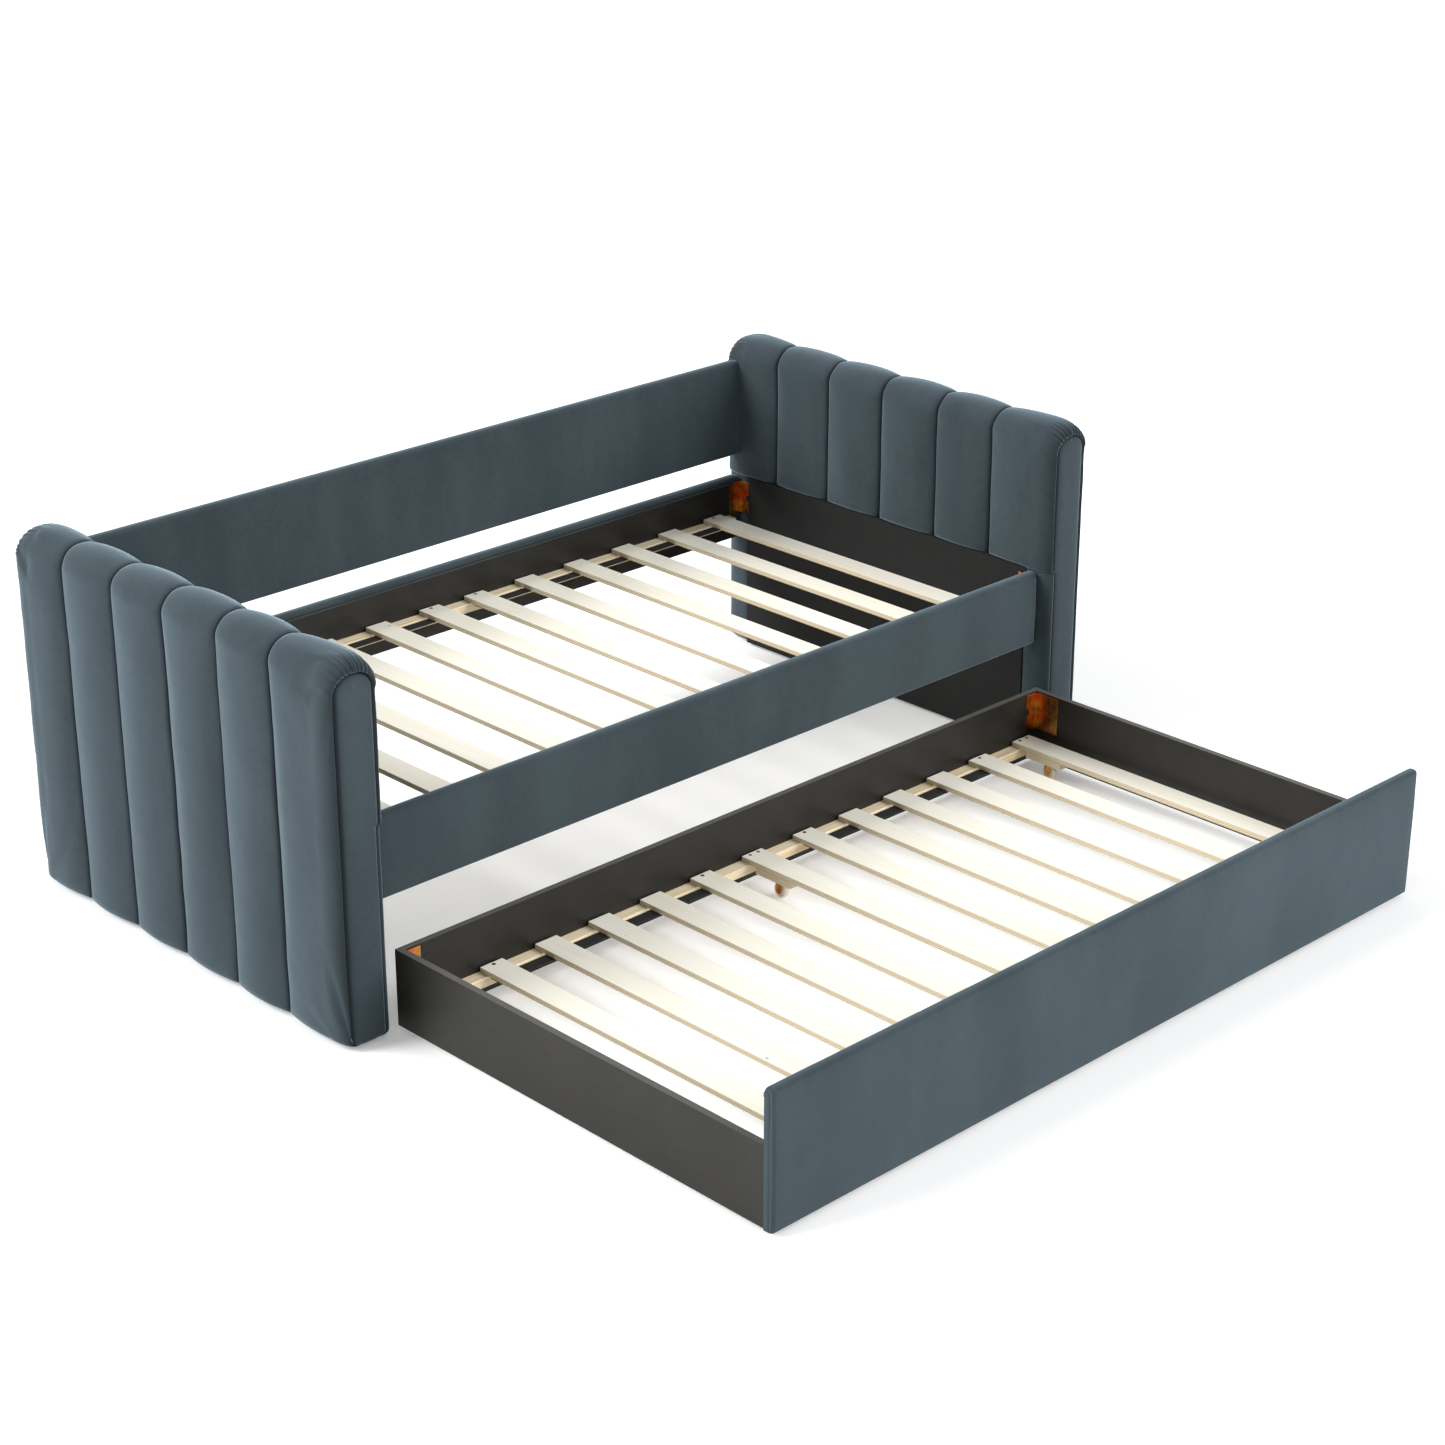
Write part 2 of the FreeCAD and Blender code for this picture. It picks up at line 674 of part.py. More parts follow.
# ---- trundle ----------------------------------------------------------------------------
front_section = ("trundle_front_thickness", "trundle_front_height", "trundle_front_radius")
front_padding = arched_body(
    "trundle_front_padding",
    "YZ_Plane",
    front_section,
    TRUNDLE_LENGTH,
    ("0 - " + TRUNDLE_HALF, FRONT, "trundle_floor_gap"),
)
front_blank = box(
    "trundle_front_blank",
    (
        TRUNDLE_LENGTH + " - 2 * trundle_end_pad",
        "trundle_front_thickness - trundle_front_pad",
        "trundle_front_height - trundle_front_radius",
    ),
    (
        "0 - %s + trundle_end_pad" % TRUNDLE_HALF,
        FRONT + " + trundle_front_pad",
        "trundle_floor_gap",
    ),
)
side_size = ("trundle_board", TRUNDLE_DEPTH + " - trundle_front_thickness", TRUNDLE_SIDE_HEIGHT)
rear_size = ("2 * " + TRUNDLE_INNER_X, "trundle_board", TRUNDLE_SIDE_HEIGHT)
panels = {
    "left": box(
        "trundle_left_blank",
        side_size,
        ("0 - %s - trundle_board" % TRUNDLE_INNER_X, TRUNDLE_INNER_FRONT, "trundle_floor_gap"),
    ),
    "right": box(
        "trundle_right_blank",
        side_size,
        (TRUNDLE_INNER_X, TRUNDLE_INNER_FRONT, "trundle_floor_gap"),
    ),
    "rear": box(
        "trundle_rear_blank",
        rear_size,
        ("0 - " + TRUNDLE_INNER_X, TRUNDLE_INNER_REAR, "trundle_floor_gap"),
    ),
}
trundle = SlatBase(
    "trundle", TRUNDLE_INNER_FRONT, TRUNDLE_INNER_REAR, TRUNDLE_SLAT_TOP, TRUNDLE_INNER_X
)
trundle_ledgers = trundle.ledgers()
OUTER_CASTER = "(%s - caster_slat_inset)" % TRUNDLE_HALF
CASTER_X = {"right": OUTER_CASTER, "middle": "0", "left": "(0 - %s)" % OUTER_CASTER}
caster_slats = []
for tag, x in CASTER_X.items():
    offsets = ["slat_width / 5", "0 - slat_width / 5"]
    caster_slats.append(trundle.slat(tag, x, offsets))
TRUNDLE_PITCH = "((%s - 2 * roll_side_gap) / %d)" % (OUTER_CASTER, TRUNDLE_ROLL - 1)
trundle_rolls = {
    "right": trundle.roll(
        "right_roll", "(%s - roll_side_gap)" % OUTER_CASTER, TRUNDLE_PITCH, TRUNDLE_ROLL
    ),
    "left": trundle.roll("left_roll", "(0 - roll_side_gap)", TRUNDLE_PITCH, TRUNDLE_ROLL),
}
trundle_screws = group("trundle_slat_screw_group", trundle.screws)
trundle_plates, trundle_plate_screws = corner_brackets(
    "trundle",
    TRUNDLE_INNER_X,
    TRUNDLE_INNER_FRONT,
    TRUNDLE_INNER_REAR,
    ("trundle_bracket_rear_leg", "trundle_bracket_side_leg"),
    ("board_screw_length", "board_screw_length"),
    0,
    TRUNDLE_TOP + " - trundle_bracket_drop",
    "trundle_bracket_height",
)
casters = {}
for x_tag, x in CASTER_X.items():
    for y_tag, y in (
        ("front", TRUNDLE_INNER_FRONT + " + slat_end_gap + caster_inset"),
        ("rear", TRUNDLE_INNER_REAR + " - slat_end_gap - caster_inset"),
    ):
        casters["%s_%s" % (x_tag, y_tag)] = caster("%s_%s" % (x_tag, y_tag), x, y)
caster_screws = []
for made in casters.values():
    caster_screws += made["screws"]
caster_screw_group = group("caster_screw_group", caster_screws)
blocks = group("blocks_blank", [made["block"] for made in casters.values()])
forks = group("forks_blank", [made["fork"] for made in casters.values()])

node(cut("trundle_front_cover_cut", front_padding, front_blank), "trundle_front_cover")
node(cut("trundle_front_done", front_blank, trundle_plate_screws), "trundle_front_board")
for tag, board in panels.items():
    node(cut("trundle_%s_done" % tag, board, trundle_plate_screws), "trundle_%s_panel" % tag)
for end, strip in trundle_ledgers.items():
    node(cut("trundle_%s_strip_done" % end, strip, trundle_screws), "trundle_%s_ledger" % end)
for tag, (slats, straps) in trundle_rolls.items():
    node(cut("trundle_%s_roll_done" % tag, slats, trundle_screws), "trundle_slats_" + tag)
    node(straps, "trundle_webbing_" + tag)
wheel_slats = group("caster_slats_blank", caster_slats)
node(cut("caster_slats_done", wheel_slats, trundle_screws), "trundle_caster_slats")
node(trundle_screws, "trundle_slat_screws")
node(cut("trundle_plates_done", trundle_plates, trundle_plate_screws), "trundle_corner_brackets")
node(trundle_plate_screws, "trundle_bracket_screws")
node(cut("blocks_done", blocks, caster_screw_group), "caster_blocks")
node(cut("forks_done", forks, caster_screw_group), "caster_forks")
node(caster_screw_group, "caster_screws")
node(group("axles_group", [made["axle"] for made in casters.values()]), "caster_axles")
for tag, made in casters.items():
    node(made["wheel"], "caster_wheel_" + tag)

doc.recompute()

# ---- check and write --------------------------------------------------------------------
for obj in doc.Objects:
    if "Invalid" in obj.State or "Error" in obj.State:
        raise RuntimeError("%s failed: %s" % (obj.Name, obj.State))
for obj in NODES:
    if obj.Shape.isNull() or not obj.Shape.isValid():
        raise RuntimeError(obj.Label + " has a bad shape")
os.makedirs("parts", exist_ok=True)
for obj in NODES:
    obj.Shape.exportStep(os.path.join("parts", obj.Label + ".step"))
    print("%-26s %2d solids %12.0f mm3" % (obj.Label, len(obj.Shape.Solids), obj.Shape.Volume))
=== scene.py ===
"""Trundle bed: an upholstered daybed, and the slatted bed on casters that rolls in under it."""

import json
import logging
import math
from dataclasses import dataclass
from enum import Enum
from typing import Any, Callable, ClassVar, Sequence

import bmesh
import bpy
import numpy as np
from mathutils import Euler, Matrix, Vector, noise


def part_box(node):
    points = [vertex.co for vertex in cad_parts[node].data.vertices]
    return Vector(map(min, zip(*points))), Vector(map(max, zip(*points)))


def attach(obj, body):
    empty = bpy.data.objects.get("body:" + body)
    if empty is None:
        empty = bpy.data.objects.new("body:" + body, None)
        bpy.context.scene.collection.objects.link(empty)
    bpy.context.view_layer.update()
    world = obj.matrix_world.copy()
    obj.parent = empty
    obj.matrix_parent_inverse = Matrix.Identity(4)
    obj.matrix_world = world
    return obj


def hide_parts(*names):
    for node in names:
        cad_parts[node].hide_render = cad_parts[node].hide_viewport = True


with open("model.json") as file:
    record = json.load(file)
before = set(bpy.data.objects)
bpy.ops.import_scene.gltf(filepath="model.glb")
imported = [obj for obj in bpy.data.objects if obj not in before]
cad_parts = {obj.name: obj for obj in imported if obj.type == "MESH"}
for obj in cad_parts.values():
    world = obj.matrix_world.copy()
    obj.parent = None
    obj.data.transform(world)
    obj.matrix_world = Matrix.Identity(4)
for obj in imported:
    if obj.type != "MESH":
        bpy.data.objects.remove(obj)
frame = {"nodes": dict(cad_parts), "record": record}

LOG = logging.getLogger("trundle_bed")
Color = tuple[float, float, float]
Triple = tuple[float, float, float]  # a place, direction or scale by axis
Value = Any  # a Signal, a number or a tuple of numbers


class Side(Enum):
    """Which arm of the daybed a piece belongs to; the value is the sign of its X."""

    LEFT = -1
    RIGHT = 1


class Slot(Enum):
    """The record's material slots that new pieces take their finishes from."""

    VELVET = "velvet"
    FOOT = "foot_plastic"
    WHEEL = "wheel_nylon"


# ---- shader writing ---------------------------------------------------------------------
class Signal:
    """One output socket of a material's nodes; arithmetic on it adds Math nodes."""

    def __init__(self, graph: "Graph", socket: bpy.types.NodeSocket) -> None:
        """Wraps a socket.

        Args:
            graph: the graph that the socket belongs to.
            socket: the output socket.
        """
        self.graph = graph
        self.socket = socket

    def math(self, operation: str, *values: Value) -> "Signal":
        """A Math node on these values.

        Args:
            operation: the Math node's operation.
            values: its inputs in order, this signal among them.

        Returns:
            The node's output.
        """
        return self.graph.node("ShaderNodeMath", {"operation": operation}, dict(enumerate(values)))

    def __add__(self, other: Value) -> "Signal":
        """Sum."""
        return self.math("ADD", self, other)

    __radd__ = __add__

    def __sub__(self, other: Value) -> "Signal":
        """Difference."""
        return self.math("SUBTRACT", self, other)

    def __rsub__(self, other: Value) -> "Signal":
        """Difference from a number."""
        return self.math("SUBTRACT", other, self)

    def __mul__(self, other: Value) -> "Signal":
        """Product."""
        return self.math("MULTIPLY", self, other)

    __rmul__ = __mul__

    def __abs__(self) -> "Signal":
        """Absolute value."""
        return self.math("ABSOLUTE", self)

    def sine(self) -> "Signal":
        """Sine."""
        return self.math("SINE", self)

    def step(self, low: float, high: float) -> "Signal":
        """Smooth step.

        Args:
            low: the value that gives 0.
            high: the value that gives 1.

        Returns:
            The share from 0 to 1.
        """
        return self.graph.node(
            "ShaderNodeMapRange",
            {"interpolation_type": "SMOOTHSTEP"},
            {"Value": self, "From Min": low, "From Max": high},
        )


class Graph:
    """The nodes of one material, around one Principled shader."""

    def __init__(self, name: str) -> None:
        """Makes the material with an empty tree.

        Args:
            name: the material's name.
        """
        self.material = bpy.data.materials.new(name)
        self.material.use_nodes = True
        self.tree = self.material.node_tree
        self.tree.nodes.clear()
        self.shader = self.tree.nodes.new("ShaderNodeBsdfPrincipled")
        output = self.tree.nodes.new("ShaderNodeOutputMaterial")
        self.tree.links.new(self.shader.outputs[0], output.inputs["Surface"])

    def put(self, socket: bpy.types.NodeSocket, value: Value) -> None:
        """Links a signal into a socket, or sets the socket to a number or colour.

        Args:
            socket: the input socket.
            value: the signal, number or colour.
        """
        if isinstance(value, Signal):
            self.tree.links.new(value.socket, socket)
        elif isinstance(value, tuple) and socket.type == "RGBA":
            socket.default_value = (*value, 1.0)
        else:
            socket.default_value = value

    def node(
        self,
        kind: str,
        settings: dict[str, Any] | None = None,
        inputs: dict[Any, Value] | None = None,
        output: int | str = 0,
    ) -> Signal:
        """Adds one node.

        Args:
            kind: the node's type.
            settings: its properties, set first; "stops" holds a ramp's places and colours.
            inputs: values or links of its sockets, by name or number.
            output: which output to return.

        Returns:
            That output.
        """
        made = self.tree.nodes.new(kind)
        for key, value in (settings or {}).items():
            if key == "stops":
                while len(made.color_ramp.elements) < len(value):
                    made.color_ramp.elements.new(1.0)
                for element, (place, color) in zip(made.color_ramp.elements, value):
                    element.position = place
                    element.color = (*color, 1.0)
            else:
                setattr(made, key, value)
        for key, value in (inputs or {}).items():
            self.put(made.inputs[key], value)
        return Signal(self, made.outputs[output])

    def place(self) -> Signal:
        """Coordinates of the piece itself, in metres, which move with it."""
        return self.node("ShaderNodeTexCoord", output="Object")

    def stretched(self, scale: Triple) -> Signal:
        """The piece's coordinates scaled by axis."""
        return self.node("ShaderNodeMapping", {}, {"Vector": self.place(), "Scale": scale})

    def axis(self, vector: Signal, letter: str) -> Signal:
        """One component of a vector, "X", "Y" or "Z"."""
        return self.node("ShaderNodeSeparateXYZ", {}, {0: vector}, letter)

    def noise(
        self, vector: Signal, scale: float, detail: float = 2.0, rough: float = 0.5
    ) -> Signal:
        """Noise from 0 to 1.

        Args:
            vector: where to read it.
            scale: features per unit of the vector.
            detail: how many finer layers it has.
            rough: how strong the finer layers are.

        Returns:
            The noise.
        """
        inputs = {"Vector": vector, "Scale": scale, "Detail": detail, "Roughness": rough}
        return self.node("ShaderNodeTexNoise", {}, inputs)

    def mix(self, factor: Value, first: Value, second: Value) -> Signal:
        """Mixes two colours.

        Args:
            factor: 0 for the first, 1 for the second.
            first: a colour.
            second: a colour.

        Returns:
            The mixed colour.
        """
        settings = {"data_type": "RGBA", "blend_type": "MIX", "clamp_factor": True}
        return self.node("ShaderNodeMix", settings, {0: factor, 6: first, 7: second}, 2)

    def facing_up(self) -> Signal:
        """How far the surface faces upwards, from -1 to 1."""
        return self.axis(self.node("ShaderNodeNewGeometry", output="Normal"), "Z")

    def attribute(self, name: str) -> Signal:
        """A number that the mesh holds at each vertex."""
        return self.node("ShaderNodeAttribute", {"attribute_name": name}, {}, "Fac")

    def bump(
        self, height: Signal, distance: float, strength: float = 1.0, under: Signal | None = None
    ) -> Signal:
        """A normal from a height.

        Args:
            height: the height, from 0 to 1.
            distance: how far 1 stands over 0, in metres.
            strength: how much of it shows.
            under: a normal to build on.

        Returns:
            The normal.
        """
        inputs = {"Height": height, "Distance": distance, "Strength": strength}
        if under is not None:
            inputs["Normal"] = under
        return self.node("ShaderNodeBump", {}, inputs)

    def finish(self, **sockets: Value) -> bpy.types.Material:
        """Sets the shader's sockets.

        Args:
            sockets: values or links by the socket's name, with _ for each space.

        Returns:
            The finished material.
        """
        for name, value in sockets.items():
            self.put(self.shader.inputs[name.replace("_", " ")], value)
        return self.material


# ---- finishes ---------------------------------------------------------------------------
@dataclass(frozen=True)
class Velvet:
    """Short-pile velvet whose nap lies a little differently from place to place, with painted shade
    in its seams and folds.
    """

    pile: Color = (0.033, 0.047, 0.056)
    brushed: Color = (0.050, 0.069, 0.080)
    # colour of the painted shade in the seams and folds; the fibre speckle of the pile also darkens
    # a little towards it
    crease: Color = (0.006, 0.008, 0.010)
    sheen: Color = (0.50, 0.66, 0.76)

    def make(self) -> bpy.types.Material:
        """Makes the material.

        Returns:
            The material.
        """
        g = Graph("velvet")
        drift = g.noise(g.stretched((5.0, 5.0, 1.6)), 1.0, 3.0, 0.55)
        mottle = g.noise(g.place(), 70.0, 3.0, 0.6)
        nap = (drift * 0.75 + mottle * 0.25).step(0.36, 0.66)
        color = g.mix(nap, self.pile, self.brushed)
        fibre = g.noise(g.place(), 1400.0, 2.0)
        color = g.mix(fibre.step(0.25, 0.75) * 0.28, color, self.crease)
        # painted shade: the mesh's per-vertex shade attribute darkens the seams, the hem, the folds
        # and the turned ends
        color = g.mix(g.attribute("crease"), color, self.crease)
        soft = g.bump(mottle, 0.0004, 0.35)
        normal = g.bump(fibre, 0.00035, 0.5, soft)
        return g.finish(
            Base_Color=color,
            Roughness=0.78 + nap * 0.12,
            Normal=normal,
            Sheen_Weight=0.85,
            Sheen_Roughness=0.38,
            Sheen_Tint=self.sheen,
            Specular_IOR_Level=0.15,
        )


@dataclass(frozen=True)
class BlackBoard:
    """Black melamine board whose upward faces, the cut edges on top, are painted paler as a painted
    highlight.
    """

    face: Color = (0.013, 0.0122, 0.0105)
    worn: Color = (0.022, 0.0205, 0.018)
    # paler colour of the upward faces, a painted highlight
    edge: Color = (0.12, 0.118, 0.108)

    def make(self) -> bpy.types.Material:
        """Makes the material.

        Returns:
            The material.
        """
        g = Graph("black_board")
        cloud = g.noise(g.place(), 7.0, 4.0, 0.6)
        grain = g.noise(g.stretched((6.0, 6.0, 90.0)), 4.0, 3.0)
        face = g.mix((cloud * 0.6 + grain * 0.4).step(0.35, 0.7), self.face, self.worn)
        speck = g.noise(g.place(), 600.0, 2.0)
        edge = g.mix(speck.step(0.4, 0.6) * 0.5, self.edge, self.worn)
        # painted highlight: faces pointing up take the paler colour
        color = g.mix(g.facing_up().step(0.75, 0.95), face, edge)
        return g.finish(
            Base_Color=color,
            Roughness=0.36 + cloud * 0.16,
            Normal=g.bump(speck * 0.6 + grain * 0.4, 0.00012, 0.6),
            Specular_IOR_Level=0.28,
        )


@dataclass(frozen=True)
class Lining:
    """Black non-woven cloth stretched over a board."""

    thread: Color = (0.016, 0.0155, 0.015)
    gap: Color = (0.007, 0.007, 0.007)

    def make(self) -> bpy.types.Material:
        """Makes the material.

        Returns:
            The material.
        """
        g = Graph("black_lining")
        felt = g.noise(g.place(), 900.0, 3.0, 0.7)
        dimple = g.node(
            "ShaderNodeTexVoronoi",
            {"feature": "F1", "distance": "EUCLIDEAN"},
            {"Vector": g.place(), "Scale": 480.0},
            "Distance",
        )
        wave = g.noise(g.place(), 5.0, 2.0)
        weave = felt * 0.5 + dimple * 0.5
        return g.finish(
            Base_Color=g.mix(weave.step(0.25, 0.6), self.gap, self.thread),
            Roughness=0.82 + wave * 0.1,
            Normal=g.bump(weave, 0.0003, 0.5, g.bump(wave, 0.0015, 0.5)),
            Specular_IOR_Level=0.25,
        )


@dataclass(frozen=True)
class SlatWood:
    """Pale birch ply with its grain across the bed and its layers showing at the edges."""

    face: Color = (0.93, 0.90, 0.79)
    streak: Color = (0.80, 0.74, 0.59)
    layer: Color = (0.50, 0.40, 0.25)
    glue: Color = (0.26, 0.17, 0.09)
    ply: float = 0.0024  # thickness of a layer

    def make(self) -> bpy.types.Material:
        """Makes the material.

        Returns:
            The material.
        """
        g = Graph("slat_wood")
        warp = g.noise(g.stretched((9.0, 1.2, 9.0)), 1.0, 2.0) * 0.5
        grain = g.noise(g.stretched((260.0, 5.0, 260.0)), 1.0, 4.0, 0.6)
        pores = g.noise(g.stretched((1500.0, 45.0, 1500.0)), 1.0, 2.0)
        face = g.mix((grain * 0.7 + warp).step(0.45, 0.85) * 0.55, self.face, self.streak)
        face = g.mix(pores.step(0.66, 0.8) * 0.25, face, self.layer)
        knot = g.node(
            "ShaderNodeTexVoronoi",
            {"feature": "F1"},
            {"Vector": g.stretched((11.0, 6.0, 2.0)), "Scale": 1.0},
            "Distance",
        )
        face = g.mix(1.0 - knot.step(0.012, 0.045), face, self.glue)
        height = g.axis(g.place(), "Z")
        turn = 2.0 * math.pi / (2.0 * self.ply)
        lines = (height * turn + warp * 0.6).sine()
        side = g.mix(lines.step(0.1, 0.9) * 0.75, self.layer, self.streak)
        side = g.mix((1.0 - abs(lines)).step(0.82, 1.0) * 0.6, side, self.glue)
        color = g.mix(abs(g.facing_up()).step(0.5, 0.9), side, face)
        return g.finish(
            Base_Color=color,
            Roughness=0.42 + grain * 0.2,
            Normal=g.bump(grain * 0.5 + pores * 0.5, 0.00015, 0.5),
            Specular_IOR_Level=0.4,
        )


@dataclass(frozen=True)
class Softwood:
    """Planed softwood with its grain along the beds."""

    early: Color = (0.88, 0.77, 0.56)
    late: Color = (0.70, 0.53, 0.31)

    def make(self) -> bpy.types.Material:
        """Makes the material.

        Returns:
            The material.
        """
        g = Graph("softwood")
        bend = g.noise(g.stretched((1.6, 9.0, 9.0)), 1.0, 2.0)
        rings = g.noise(g.stretched((2.2, 120.0, 120.0)), 1.0, 3.0, 0.5)
        fine = g.noise(g.stretched((60.0, 1500.0, 1500.0)), 1.0, 2.0)
        color = g.mix((rings * 0.8 + bend * 0.4).step(0.45, 0.8), self.early, self.late)
        color = g.mix(fine.step(0.5, 0.75) * 0.2, color, self.late)
        return g.finish(
            Base_Color=color,
            Roughness=0.5 + fine * 0.15,
            Normal=g.bump(rings * 0.5 + fine * 0.5, 0.0002, 0.5),
            Specular_IOR_Level=0.35,
        )


@dataclass(frozen=True)
class Webbing:
    """Black woven strap."""

    thread: Color = (0.022, 0.021, 0.021)
    gap: Color = (0.006, 0.006, 0.006)
    pitch: float = 0.0011  # from one thread to the next

    def make(self) -> bpy.types.Material:
        """Makes the material.

        Returns:
            The material.
        """
        g = Graph("webbing")
        turn = 2.0 * math.pi / self.pitch
        across = (g.axis(g.place(), "X") * turn).sine()
        along = (g.axis(g.place(), "Y") * turn).sine()
        weave = across * along * 0.5 + 0.5
        return g.finish(
            Base_Color=g.mix(weave.step(0.1, 0.8), self.gap, self.thread),
            Roughness=0.74 + weave * 0.12,
            Normal=g.bump(weave, 0.0003, 0.7),
        )


@dataclass(frozen=True)
class Zinc:
    """Yellow-passivated zinc with the orange and green cast of a thick film."""

    gold: Color = (0.58, 0.29, 0.07)
    copper: Color = (0.56, 0.155, 0.045)
    olive: Color = (0.155, 0.125, 0.05)

    def make(self) -> bpy.types.Material:
        """Makes the material.

        Returns:
            The material.
        """
        g = Graph("zinc_steel")
        patch = g.noise(g.place(), 26.0, 2.0, 0.4)
        film = g.noise(g.place(), 70.0, 2.0, 0.5)
        color = g.mix(patch.step(0.42, 0.58), self.gold, self.copper)
        color = g.mix(film.step(0.52, 0.66) * 0.7, color, self.olive)
        scratch = g.noise(g.stretched((900.0, 900.0, 60.0)), 1.0, 2.0)
        return g.finish(
            Base_Color=color,
            Metallic=1.0,
            Roughness=0.22 + scratch * 0.16,
            Normal=g.bump(scratch, 0.00005, 0.5),
        )


@dataclass(frozen=True)
class DarkScrew:
    """Screws with a dark phosphate finish."""

    metal: Color = (0.055, 0.045, 0.038)
    bare: Color = (0.22, 0.19, 0.16)

    def make(self) -> bpy.types.Material:
        """Makes the material.

        Returns:
            The material.
        """
        g = Graph("dark_screw")
        wear = g.noise(g.place(), 900.0, 3.0)
        return g.finish(
            Base_Color=g.mix(wear.step(0.55, 0.75), self.metal, self.bare),
            Metallic=0.9,
            Roughness=0.35 + wear * 0.25,
            Normal=g.bump(wear, 0.00005, 0.4),
        )


@dataclass(frozen=True)
class Moulded:
    """Moulded plastic with a fine texture."""

    name: str
    body: Color
    dusty: Color
    roughness: float

    def make(self) -> bpy.types.Material:
        """Makes the material.

        Returns:
            The material.
        """
        g = Graph(self.name)
        dust = g.noise(g.place(), 140.0, 3.0)
        texture = g.noise(g.place(), 2600.0, 1.0)
        return g.finish(
            Base_Color=g.mix(dust.step(0.5, 0.8) * 0.6, self.body, self.dusty),
            Roughness=self.roughness + dust * 0.12,
            Normal=g.bump(texture, 0.00006, 0.5),
        )


@dataclass(frozen=True)
class Floor:
    """Plain white studio floor."""

    paint: Color = (0.93, 0.93, 0.93)
    shade: Color = (0.915, 0.917, 0.92)
    glow: float = 0.22

    def make(self) -> bpy.types.Material:
        """Makes the material.

        Returns:
            The material.
        """
        g = Graph("floor")
        cloud = g.noise(g.place(), 0.6, 2.0)
        color = g.mix(cloud, self.paint, self.shade)
        return g.finish(
            Base_Color=color, Roughness=0.85, Emission_Color=color, Emission_Strength=self.glow
        )


# ---- mesh building ----------------------------------------------------------------------
LATHE_SIDES = 48
WELD = 2e-5  # metres within which points are one


def grid_object(
    name: str,
    points: np.ndarray,
    values: dict[str, np.ndarray] | None = None,
    closed: bool = False,
) -> bpy.types.Object:
    """Makes a smooth surface through rows of points.

    Args:
        name: the object's name.
        points: an array of rows, columns and 3.
        values: numbers for each vertex, by attribute name, each of rows by columns.
        closed: whether the last column joins the first.

    Returns:
        The object, linked into the scene.
    """
    rows, columns = points.shape[:2]
    index = np.arange(rows * columns).reshape(rows, columns)
    after = np.roll(index, -1, axis=1) if closed else index[:, 1:]
    before = index if closed else index[:, :-1]
    quads = np.stack([before[:-1], after[:-1], after[1:], before[1:]], axis=-1).reshape(-1, 4)
    mesh = bpy.data.meshes.new(name)
    mesh.from_pydata(points.reshape(-1, 3).tolist(), [], quads.tolist())
    for key, numbers in (values or {}).items():
        layer = mesh.attributes.new(key, "FLOAT", "POINT")
        layer.data.foreach_set("value", np.ascontiguousarray(numbers, dtype=np.float32).ravel())
    mesh.shade_smooth()
    piece = bpy.data.objects.new(name, mesh)
    bpy.context.scene.collection.objects.link(piece)
    return piece


def tidy_mesh(piece: bpy.types.Object, outside: Callable[[Vector], Vector]) -> None:
    """Welds doubled points, drops empty faces and turns the faces outwards.

    Args:
        piece: the object.
        outside: gives the outward direction at a face's centre.
    """
    mesh = bmesh.new()
    mesh.from_mesh(piece.data)
    bmesh.ops.remove_doubles(mesh, verts=mesh.verts, dist=WELD)
    bmesh.ops.dissolve_degenerate(mesh, dist=1e-6, edges=mesh.edges)
    bmesh.ops.recalc_face_normals(mesh, faces=mesh.faces)
    vote = sum(
        face.normal.dot(outside(face.calc_center_median())) * face.calc_area()
        for face in mesh.faces
    )
    if vote < 0.0:
        bmesh.ops.reverse_faces(mesh, faces=mesh.faces)
    mesh.to_mesh(piece.data)
    mesh.free()
    piece.data.shade_smooth()


def lathe(
    name: str, outline: Sequence[tuple[float, float]], axis: str, centre: Vector
) -> bpy.types.Object:
    """Turns an outline round an axis.

    Args:
        name: the object's name.
        outline: pairs of a distance along the axis and a radius.
        axis: "X" or "Z".
        centre: the point that the distances are counted from.

    Returns:
        The turned object.
    """
    turns = np.linspace(0.0, 2.0 * math.pi, LATHE_SIDES, endpoint=False)
    along = np.array([a for a, _ in outline])[:, None] * np.ones_like(turns)
    radius = np.array([r for _, r in outline])[:, None]
    first, second = radius * np.cos(turns), radius * np.sin(turns)
    order = (along, first, second) if axis == "X" else (first, second, along)
    piece = grid_object(name, np.stack(order, axis=-1) + np.array(centre), closed=True)
    tidy_mesh(piece, lambda point: point - centre)
    return piece


def ease(value: np.ndarray | float, low: float, high: float) -> np.ndarray:
    """Smooth step from 0 at low to 1 at high."""
    share = np.clip((np.asarray(value) - low) / (high - low), 0.0, 1.0)
    return share * share * (3.0 - 2.0 * share)


def wander(place: Sequence[float], scale: float) -> float:
    """Smooth noise from about -1 to 1 at a place, with features of the given size in metres."""
    return noise.noise(Vector(place) / scale)


def spaced(low: float, high: float, pitch: float) -> list[float]:
    """Even steps from low to high, both included, about a pitch apart."""
    count = max(1, round(abs(high - low) / pitch))
    return [low + (high - low) * i / count for i in range(count + 1)]


